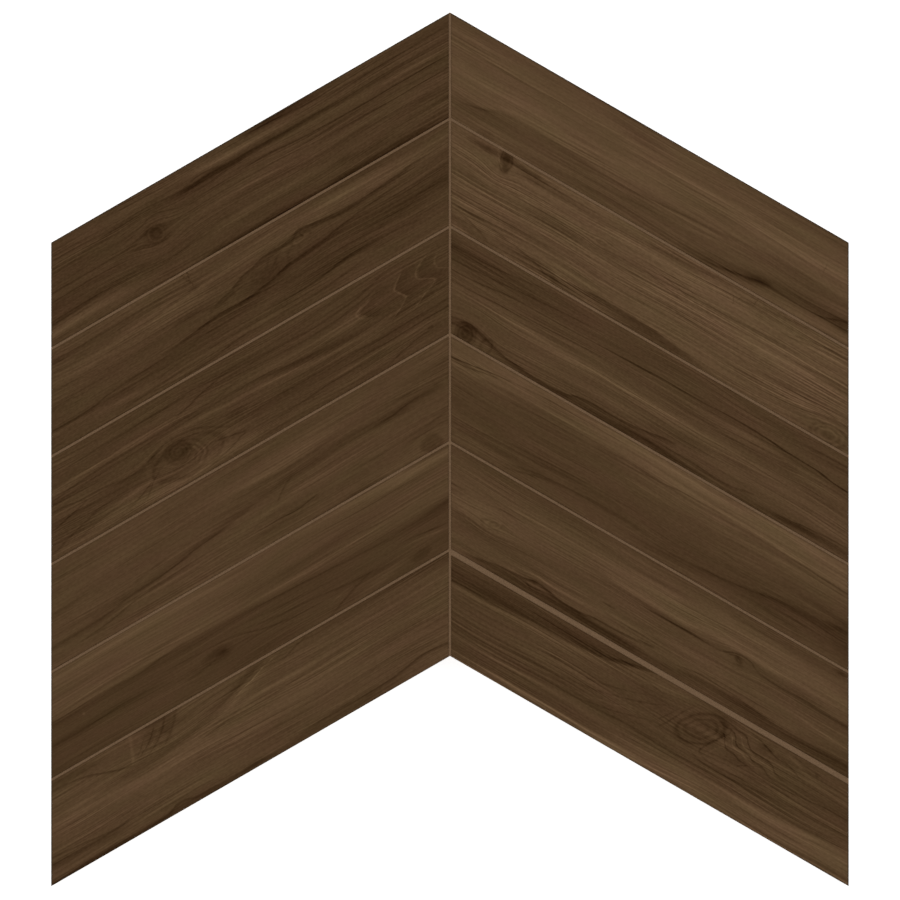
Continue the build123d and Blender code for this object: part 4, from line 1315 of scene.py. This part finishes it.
plankRight5 = {
    "seed": 62.3, "tone": 64.1, "cloud": 1.5, "bands": 2, "fibres": 5.4, "pores": 4, "lines": 1.2,
    "knots": [
        {"at": (168.4, 20.6), "size": (2.8, 1.4), "turn": 30, "uneven": 0.2, "reach": (11, 4.4),
         "push": 0.85, "rings": [(0, 4), (0.4, -14), (0.8, -10), (1.2, -3), (1.6, 0)]},
        {"at": (168.4, 20.2), "size": (8.5, 3.2), "rings": [(0, -2), (0.7, -3), (1.1, 0)]},
        {"at": (213.5, 1.6), "size": (4, 1.6), "rings": [(0, -15), (0.5, -10), (1.1, 0)]},
        {"at": (36, 22.6), "size": (6, 3), "turn": -24, "reach": (9, 5), "push": 0.7,
         "uneven": 0.15, "rings": [(0, 3), (0.35, -4), (0.6, 3), (0.85, -4), (1.1, 0)]},
        {"at": (66, 36.8), "size": (2.6, 1.4), "reach": (6, 3.4), "push": 0.7, "uneven": 0.2,
         "rings": [(0, -12), (0.6, -7), (1.1, 0)]},
    ],
    "strokes": [
        (3, 2, [(74, 39.6), (92, 40, -9), (112, 40.4, -9), (128, 41)]),
        (2.4, 2.4, [(150, 9), (170, 9, 5), (190, 9.6)]),
        (1.2, 1.4, [(196, 21.4), (212, 22, -6), (246, 22.6, -7)]),
        (2.4, 2.4, [(150, 15.6), (170, 16, 5), (200, 16.4)]),
        (2, 2, [(78, 3), (96, 3, 4), (116, 3)]),
        (1.4, 1.4, [(146, 20), (162, 19.8, -5), (200, 20.4, -5), (222, 21)]),
        (2, 3, [(54, 37.6), (66, 36.4, -7), (82, 38.4)]),
        (3, 3, [(164, 37.4), (182, 38, -7), (200, 38.6)]),
        (2.4, 2.6, [(90, 16.4), (112, 17, 10), (138, 17, 10), (150, 15.8, 8), (180, 16, 10),
            (206, 16.4, 5), (222, 17)]),
        (4, 4, [(130, 7), (160, 7, 6), (196, 8, 5), (222, 8)]),
        (1.2, 1.2, [(116, 20.4), (134, 20.6, -7), (150, 20.6, -6), (160, 21)]),
        (6, 6, [(4, 22), (24, 22, 3), (50, 21, 3), (72, 21)]),
        (5, 4, [(-6, 2, -4), (40, 2, -5), (80, 2, -4), (130, 2, -4), (170, 3, -4), (225, 2, -5)]),
        (5, 6, [(-6, 12, 2), (40, 12, 4), (80, 12, 6), (110, 12, 9), (150, 11, 9), (180, 11, 9),
            (228, 13, 8)]),
        (2, 2.4, [(4, 21), (16, 18.6, 5), (26, 18, 7), (36, 17.6, 4), (46, 17.4)]),
        (0.4, 0.6, [(5, 15.6, -6), (12, 15.6, -8), (18, 15.5)]),
        (0.4, 0.5, [(30, 15.4), (37, 14.8, -8), (43, 14.8, -7), (50, 15)]),
        (0.4, 0.6, [(30, 12.6), (50, 11.8, 5), (80, 11.4, 5), (110, 11.2, 5), (140, 12.4, 5),
            (170, 13.4, 6), (210, 13.6, 5)]),
        (0.6, 0.8, [(26, 24.6), (34, 22, -5), (41, 21.4, -5), (48, 22.4)]),
        (0.5, 0.8, [(12, 26.8, -6), (22, 26.9, -8), (32, 28, -5), (46, 27.4, -5), (62, 26.6)]),
        (1.2, 1.4, [(16, 30.6), (36, 29.6, -4), (60, 27, -4), (90, 26.2, -3), (124, 26.6)]),
        (3.4, 3.4, [(14, 33, -4), (34, 32, -6), (56, 31, -5), (74, 31)]),
        (1.6, 1.8, [(52, 34.4), (64, 34, 6), (80, 33.6, 10), (98, 33, 8), (116, 31.6, 6),
            (136, 29.6, 6), (160, 29)]),
        (0.5, 1.6, [(30, 41.4), (38, 40.4, -8), (48, 38.6, -13), (56, 37.9, -15), (63, 37.2, -17),
            (67, 36.3, -17), (73, 36.9, -17), (82, 38, -17), (91, 38.2, -16), (100, 37, -15),
            (112, 36.8, -15), (122, 36, -12), (127, 35.3, -13), (131, 35)]),
        (0.5, 0.7, [(62, 38), (64.5, 39.4, -8), (68, 41)]),
        (2, 8, [(28, 42, -3), (46, 40.4, -12), (60, 39.6, -16), (84, 40, -19), (110, 39.8, -16),
            (140, 39.8, -11), (160, 38, -10), (178, 38.6, -12), (200, 39.4, -14), (216, 38.6, -16),
            (246, 38, -20)]),
        (0.4, 0.6, [(98, 28.5), (102.5, 28.6, -11), (107, 28.6)]),
        (1.8, 2.2, [(84, 20.6), (100, 20, -5), (116, 19.8, -6), (130, 20.4, -6), (150, 20.4, -4),
            (160, 21)]),
        (0.5, 0.8, [(114, 20.8), (126, 20.6, -9), (142, 20.4, -10), (154, 20.8)]),
        (0.6, 0.9, [(154, 21.8), (160, 20.4, -8), (164, 18.4, -10), (168, 17.6, -10),
            (173, 18.2, -9), (178, 20.4, -8), (190, 21.6, -8), (204, 21.4, -9), (232, 21.8, -9)]),
        (0.5, 0.7, [(162, 21), (165, 19.4, -7), (169, 19, -7), (173, 20.6)]),
        (1.4, 2.4, [(170, 20.6), (186, 21.8, -8), (206, 21.8, -8), (236, 22.4, -9)]),
        (0.4, 0.7, [(156, 29.6), (178, 29.4, 5), (200, 29.2, 6), (214, 30, 8), (240, 31.8, 8)]),
        (3, 3, [(120, 24.4), (140, 25, -4), (170, 25.6, -3), (200, 26, -3), (230, 27, -3)]),
        (0.5, 0.8, [(144, 36.6), (150, 36, -8), (157, 35, -10), (163, 35.2, -9), (170, 35.8)]),
        (0.6, 1, [(164, 35.4), (174, 35.8, -8), (184, 37, -9), (198, 38.2, -8), (214, 37.4)]),
        (2, 2.4, [(124, 35.4), (142, 37.4, -4), (164, 37, -4), (190, 37.4, -3), (206, 37)]),
        (3, 3, [(204, 36), (222, 35, -5), (246, 34, -7)]),
    ],
}

plankRight6 = {
    "seed": 69.9, "tone": 59.6, "cloud": 1.5, "bands": 2.2, "fibres": 7, "pores": 4.5, "lines": 2,
    "knots": [
        {"at": (143, 12), "size": (12.6, 7.4), "turn": -34, "uneven": 0.05, "reach": (18, 11),
         "push": 0.5, "rings": [(0, 1), (0.14, 0), (0.24, -5), (0.34, 1), (0.48, 2), (0.6, -6),
         (0.7, 1), (0.82, 0), (0.94, -9), (1.06, -1), (1.3, 0)]},
        {"at": (142, 12), "size": (15, 9), "turn": -34, "rings": [(0, -3), (0.7, -3), (1, 0)]},
        {"at": (150, 2), "size": (8, 5), "rings": [(0, -7), (0.6, -5), (1.1, 0)]},
        {"at": (164, 17), "size": (8, 3.4), "turn": -18, "rings": [(0, -6), (0.6, -4), (1.1, 0)]},
        {"at": (174, 5), "size": (4.4, 2.6), "turn": -10, "rings": [(0, -9), (0.6, -6), (1.1, 0)]},
        {"at": (201.4, 3.6), "size": (1.4, 1), "rings": [(0, -10), (0.6, -6), (1.1, 0)]},
    ],
    "crossStrokes": [
        (0.7, 0.9, [(4, 155), (7, 155.6, -8), (10, 154, -8), (14, 151, -8), (18, 148.6, -8),
            (21, 147.4, -8), (24, 149)]),
        (0.6, 0.8, [(12.4, 179), (14, 175.6, -8), (16, 171, -9), (18, 167.4, -9), (20, 166)]),
        (0.9, 1.2, [(6, 158.6), (10, 157.6, 5), (14, 155.6, 5), (18, 152.6, 5), (22, 151)]),
        (0.7, 1, [(4, 135.4), (8, 132.4, -7), (13, 129.6, -8), (18, 127, -7), (23, 123)]),
        (0.6, 0.9, [(8, 130), (12, 127.2, -5), (16, 124.6, -6), (21, 120)]),
    ],
    "strokes": [
        (3, 3, [(4, 35, -4), (40, 35, -7), (70, 35.4, -5), (90, 35)]),
        (1.6, 1.8, [(20, 39), (40, 39, 6), (80, 39, 10), (104, 39, 7), (126, 39)]),
        (1, 1.2, [(26, 41.2), (42, 41.2, 9), (60, 41.2, 4), (72, 41.2)]),
        (2.2, 2.4, [(98, 35.2), (118, 34.8, 10), (138, 33.8, 10), (156, 33.6, 4), (170, 33.6)]),
        (2, 2.4, [(150, 36.6), (170, 35.8, -8), (200, 35.4, -9), (222, 35)]),
        (1.8, 1.6, [(150, 31.8, 4), (180, 31.6, 10), (206, 31.2, 9), (226, 29, 9), (244, 28, 9)]),
        (1.4, 1.4, [(80, 29.4, 2), (100, 29.2, 5), (140, 29.4, 5), (160, 29.4)]),
        (4, 4, [(104, 10), (118, 11, -5), (132, 12)]),
        (1.2, 1.4, [(76, 41.6), (96, 41.6, -10), (120, 41.6, -10), (136, 41.6)]),
        (1.6, 1.6, [(160, 3), (172, 2, 5), (184, 3)]),
        (1.2, 1.2, [(164, 20), (176, 20.4, -6), (190, 20.6)]),
        (0.8, 0.8, [(156, 5.4), (161, 5.8, 7), (164, 9, 8), (170, 10.6, 8), (178, 11.4, 6),
            (184, 13.6)]),
        (2, 2, [(28, 22.6), (46, 23, -6), (66, 23)]),
        (1.4, 1.4, [(147, 9), (153, 10, -7), (160, 12)]),
        (0.5, 0.9, [(148, 4), (152, 5, -12), (156, 5.2, -13), (159, 7, -14), (161, 10, -14),
            (164, 11, -14), (168, 11.4, -13), (172, 13, -12), (177, 13.4, -11), (182, 15.6, -8),
            (190, 16.6)]),
        (0.5, 0.9, [(154, 3), (158, 4, -12), (163, 4.4, -13), (166, 7, -14), (169, 9, -13),
            (174, 9.4, -12), (180, 10, -12), (184, 12.6, -9), (192, 14)]),
        (0.5, 0.9, [(150, 8), (154, 9, -12), (156, 12, -13), (158, 14, -13), (162, 14.4, -13),
            (166, 16, -12), (172, 16.6, -10), (178, 17.6)]),
        (0.8, 0.8, [(152, 6.8), (157, 7.4, 7), (160, 11.6, 8), (166, 12.8, 8), (172, 14.8, 6),
            (178, 15.4)]),
        (0.5, 0.9, [(164, 2), (170, 2.6, -11), (176, 4.6, -12), (180, 6, -11), (186, 6.4, -8),
            (192, 8)]),
        (1.4, 1.4, [(40, 43.4), (60, 43.2, -6), (100, 43, -6), (130, 43.6)]),
        (14, 0.8, [(-6, 9.2, -14), (10, 9.8, -14), (24, 9.1, -14), (40, 8.2, -13), (56, 7.4, -13),
            (76, 7, -12), (88, 5.6, -12), (96, 4, -12), (106, 1.4, -10), (116, -1)]),
        (0.8, 1.4, [(40, 4), (60, 3.6, -6), (76, 4, -8), (88, 4.4, -11), (96, 3, -12), (104, 1, -9),
            (112, -0.4)]),
        (1.8, 3, [(4, 11.8, 4), (26, 11.2, 6), (60, 10, 6), (88, 7.2, 9), (104, 6.4, 5),
            (124, 3, 5), (136, 1)]),
        (0.4, 0.6, [(102, 4), (110, 5.4, -7), (117, 6.2, -8), (124, 6)]),
        (0.4, 0.6, [(62, 17.2), (69, 16.9, -9), (77, 16.7)]),
        (6, 6, [(4, 26, -5), (40, 27, -5), (90, 27.4, -4), (124, 26, -2), (160, 25)]),
        (0.7, 1, [(12, 29.6, -5), (50, 29, -6), (90, 28.6, -6), (124, 27.4, -5), (140, 27)]),
        (0.6, 0.8, [(12, 26.6, 4), (50, 27, 4), (90, 25.8, 4), (118, 23)]),
        (0.5, 0.8, [(56, 24), (80, 22.4, -5), (100, 18.6, -6), (116, 13.6, -6), (126, 9)]),
        (0.5, 0.8, [(60, 20.6), (84, 18.4, -5), (104, 13.8, -6), (118, 8.8)]),
        (0.6, 0.8, [(64, 27), (90, 24.8, 4), (110, 20.4, 4), (122, 16.4)]),
        (0.5, 0.8, [(70, 30), (94, 27, -5), (112, 23, -5), (124, 19)]),
        (4.6, 14, [(16, 43, 6), (60, 42.4, 8), (90, 41.4, 10), (110, 39.6, 12), (130, 37.8, 13),
            (160, 36, 15), (200, 33.4, 17), (246, 31, 17)]),
        (0.5, 0.6, [(22, 38.4, 6), (60, 38.8, 9), (100, 39.2, 9), (140, 39.4, 7), (200, 38.4)]),
        (1.4, 2, [(18, 41.6, 3), (60, 42, 4), (110, 42, 4), (150, 42)]),
        (0.5, 0.7, [(112, 28), (130, 28.4, -8), (150, 28, -8), (166, 27.4, -6), (180, 26)]),
        (0.5, 0.7, [(114, 30), (134, 30.2, -7), (156, 30, -6), (182, 29.6)]),
        (0.6, 0.9, [(143, 22.4), (147, 24.4, -8), (154, 25.6, -8), (166, 25.6, -8), (178, 24.6, -6),
            (196, 23.6)]),
        (0.6, 0.9, [(147, 20.6), (151, 22.8, -7), (158, 23.6, -6), (172, 22.8, -6), (186, 21.6)]),
        (0.4, 0.6, [(168, 17.6), (180, 17.4, -7), (190, 17, -9), (204, 16, -8), (222, 15, -8),
            (234, 14.6, -6)]),
        (0.5, 0.7, [(168, 20.2), (182, 19.4, -7), (198, 18.8)]),
        (4, 5, [(184, 12.6), (204, 13, -5), (236, 14, -6)]),
        (1.2, 1.6, [(176, 1), (188, 2.8, 5), (198, 6, 6), (210, 7.4)]),
        (0.5, 0.8, [(180, 4.6), (188, 6.4, -6), (195, 8.8, -6), (200, 10)]),
        (0.5, 0.8, [(186, 1), (196, 2.6, -7), (206, 3.4, -5), (218, 3)]),
        (2.6, 3.4, [(160, 22), (186, 23.4, -4), (210, 22, -4), (236, 22, -3)]),
        (0.4, 0.5, [(150, 32.6), (185, 32.6, 5), (210, 32.2, 5), (236, 33)]),
    ],
}

figures = {
    "left": [plankLeft1, plankLeft2, plankLeft3, plankLeft4, plankLeft5, plankLeft6],
    "right": [plankRight1, plankRight2, plankRight3, plankRight4, plankRight5, plankRight6],
}


fillSetup = {
    "sand": linearColour(112, 88, 65),
    "grit": linearColour(92, 71, 50),
    "gritScale": 2600.0,  # per metre
    "gritDetail": 3.0,
    "gritSpan": (0.35, 0.7),
    "roughness": 0.9,
    "specular": 0.2,
    "reliefStrength": 0.4,
    "reliefDepth": 0.1 * mm,
}


def makeFill():
    material, tree, shader = startMaterial("jointFiller", fillSetup)
    place = tree.nodes.new("ShaderNodeTexCoord").outputs["Object"]
    grains = noise(tree, place, fillSetup["gritScale"], fillSetup["gritDetail"])
    gritty = scaled(tree, grains, *fillSetup["gritSpan"])
    colour = blended(tree, gritty, fillSetup["sand"], fillSetup["grit"])
    feed(tree, shader.inputs["Base Color"], colour)
    addRelief(tree, shader, grains, fillSetup)
    coverPiece("joint_fill", material)


# the backing net: wefts along X over twisted pairs of warps along Y, held by spots of glue

netSetup = {  # lengths in millimetres
    "seed": 5,
    "pitch": 5.0,
    "strandWidth": 0.75,
    "strandHeight": 0.3,
    "pairGap": 0.75,  # between the two strands of a warp where they lie side by side
    "weftLevel": 0.42,
    "warpLevel": 0.17,
    "warpShare": 0.75,  # a warp strand's width, as a share of a weft's
    "crossLift": 0.02,  # up and down, where the two strands of a warp cross
    "waver": 0.18,
    "weftStep": 10,  # between the points of a weft
    "warpMargins": {"side": 0.8, "upper": 0.3, "lower": 0.5},  # in to the net's outline
    "weftMargins": {"side": 0.3, "slope": 0.6},
    "shortest": 2,
    "strandSides": 6,
    "colour": linearColour(226, 225, 218),
    "roughness": 0.55,
    "specular": 0.4,
}


def tubeAlong(vertices, faces, points, width, height):
    # a flattened strand through the points, closed at both ends
    sides = netSetup["strandSides"]
    first = len(vertices)
    for number, (x, y, z) in enumerate(points):
        before = points[max(number - 1, 0)]
        after = points[min(number + 1, len(points) - 1)]
        heading = math.atan2(after[1] - before[1], after[0] - before[0])
        for step in range(sides):
            angle = 2 * math.pi * (step + 0.5) / sides
            aside = math.cos(angle) * width / 2
            vertices.append((
                (x - math.sin(heading) * aside) * mm,
                (y + math.cos(heading) * aside) * mm,
                (z + math.sin(angle) * height / 2) * mm,
            ))
    for number in range(len(points) - 1):
        ring = first + number * sides
        for step in range(sides):
            after = (step + 1) % sides
            faces.append((ring + step, ring + after, ring + sides + after, ring + sides + step))
    last = first + (len(points) - 1) * sides
    faces.append(tuple(first + step for step in reversed(range(sides))))
    faces.append(tuple(last + step for step in range(sides)))


def meshPiece(name, vertices, faces, material):
    mesh = bpy.data.meshes.new(name)
    mesh.from_pydata(vertices, [], faces)
    mesh.shade_smooth()
    mesh.materials.append(material)
    piece = bpy.data.objects.new(name, mesh)
    bpy.context.scene.collection.objects.link(piece)
    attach(piece, rootBody)
    return piece


def makeNet():
    chance = random.Random(netSetup["seed"])
    low, high = (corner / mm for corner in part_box("backing_net"))
    bandDrop = high.y - low.y - high.x * slopeTan  # the net's own height along Y
    pitch, gap = netSetup["pitch"], netSetup["pairGap"] / 2
    vertices, faces = [], []

    def waver():
        return chance.uniform(-1, 1) * netSetup["waver"]

    def strand(points, width):
        tubeAlong(vertices, faces, points, width, netSetup["strandHeight"])

    warpMargins, weftMargins = netSetup["warpMargins"], netSetup["weftMargins"]
    columns = math.floor((high.x - gap - warpMargins["side"]) / pitch)
    for column in range(-columns, columns + 1):
        x = column * pitch
        top = high.y - (abs(x) + gap) * slopeTan - warpMargins["upper"]
        bottom = high.y - bandDrop - max(abs(x) - gap, 0) * slopeTan + warpMargins["lower"]
        steps = round((top - bottom) / pitch)
        drift = [waver() for step in range(steps + 1)]
        for side in (-1, 1):
            points = []
            for step in range(steps + 1):
                swap = side if step % 2 else -side  # the pair crosses over between wefts
                points.append((x + drift[step] + swap * gap, bottom + (top - bottom) * step / steps,
                               netSetup["warpLevel"] + netSetup["crossLift"] * swap))
            strand(points, netSetup["strandWidth"] * netSetup["warpShare"])

    lines = math.floor((high.y - low.y) / pitch)
    for line in range(1, lines + 1):
        y = low.y + line * pitch
        outer = min((high.y - y - weftMargins["slope"]) / slopeTan, high.x - weftMargins["side"])
        inner = (high.y - bandDrop - y + weftMargins["slope"]) / slopeTan
        spans = [(-outer, outer)] if inner <= 0 else [(-outer, -inner), (inner, outer)]
        for start, end in spans:
            if end - start < netSetup["shortest"]:
                continue
            steps = max(round((end - start) / netSetup["weftStep"]), 1)
            points = [(start + (end - start) * step / steps, y + waver(), netSetup["weftLevel"])
                      for step in range(steps + 1)]
            strand(points, netSetup["strandWidth"])
    material, tree, shader = startMaterial("glassFibre", netSetup)
    net = meshPiece("glassNet", vertices, faces, material)
    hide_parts("backing_net")


glueSetup = {  # lengths in millimetres
    "seed": 11,
    "spots": 9,  # along each plank
    "first": 14,  # the first spot's distance from the seam
    "span": 160,  # from the first spot to the last
    "shift": 3,
    "heightOnPlank": (0.4, 0.6),
    "width": (5.0, 9.0),
    "lobes": (0.02, 0.12),
    "corners": 20,
    "rings": ((1.0, 0.59), (0.93, 0.42), (0.6, 0.24)),  # share of the width, level
    "middle": 0.2,  # level
    "colour": linearColour(214, 211, 200),
    "roughness": 0.25,
    "specular": 0.5,
    "clearness": 0.5,
}


def makeGlue():
    # flat spots of glue squeezed through the net along the middle of each plank
    chance = random.Random(glueSetup["seed"])
    vertices, faces = [], []
    around, rings = glueSetup["corners"], glueSetup["rings"]

    def spot(side, x, y):
        radius = chance.uniform(*glueSetup["width"]) / 2
        lobes = [(order, chance.uniform(*glueSetup["lobes"]), chance.uniform(0, 6.28))
                 for order in range(2, 5)]
        first = len(vertices)
        for share, level in rings:
            for step in range(around):
                angle = 2 * math.pi * step / around
                swell = sum(size * math.sin(order * angle + phase) for order, size, phase in lobes)
                reach = radius * share * (1 + swell)
                vertices.append((side * (x + reach * math.cos(angle)) * mm,
                                 (y + reach * math.sin(angle)) * mm, level * mm))
        vertices.append((side * x * mm, y * mm, glueSetup["middle"] * mm))
        for ring in range(len(rings)):
            for step in range(around):
                here = first + ring * around
                edge = (here + step, here + (step + 1) % around)
                if ring < len(rings) - 1:
                    faces.append((*edge, edge[1] + around, edge[0] + around))
                else:
                    faces.append((*edge, here + around))
        faces.append(tuple(first + step for step in reversed(range(around))))

    for sideName, side in (("left", -1), ("right", 1)):
        for row in range(1, len(figures[sideName]) + 1):
            low, high = (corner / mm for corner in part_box(f"plank_{sideName}_{row}"))
            drop = high.y - low.y - (high.x - low.x) * slopeTan
            for number in range(glueSetup["spots"]):
                x = glueSetup["first"] + glueSetup["span"] * number / (glueSetup["spots"] - 1)
                x += chance.uniform(-glueSetup["shift"], glueSetup["shift"])
                y = high.y - x * slopeTan - drop * chance.uniform(*glueSetup["heightOnPlank"])
                spot(side, x, y)
    material, tree, shader = startMaterial("clearGlue", glueSetup)
    shader.inputs["Transmission Weight"].default_value = glueSetup["clearness"]
    glue = meshPiece("netGlue", vertices, faces, material)
    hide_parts("backing_net")


makeCamera()
makeLight()
makeFloor()
print("camera, floor and lamps made")

for side, sideName in ((-1, "left"), (1, "right")):
    for row, figure in enumerate(figures[sideName], start=1):
        makePlankMaterial(f"plank_{sideName}_{row}", side, figure)
print("planks printed")

makeFill()
makeNet()
makeGlue()
print("joints filled, net glued on")
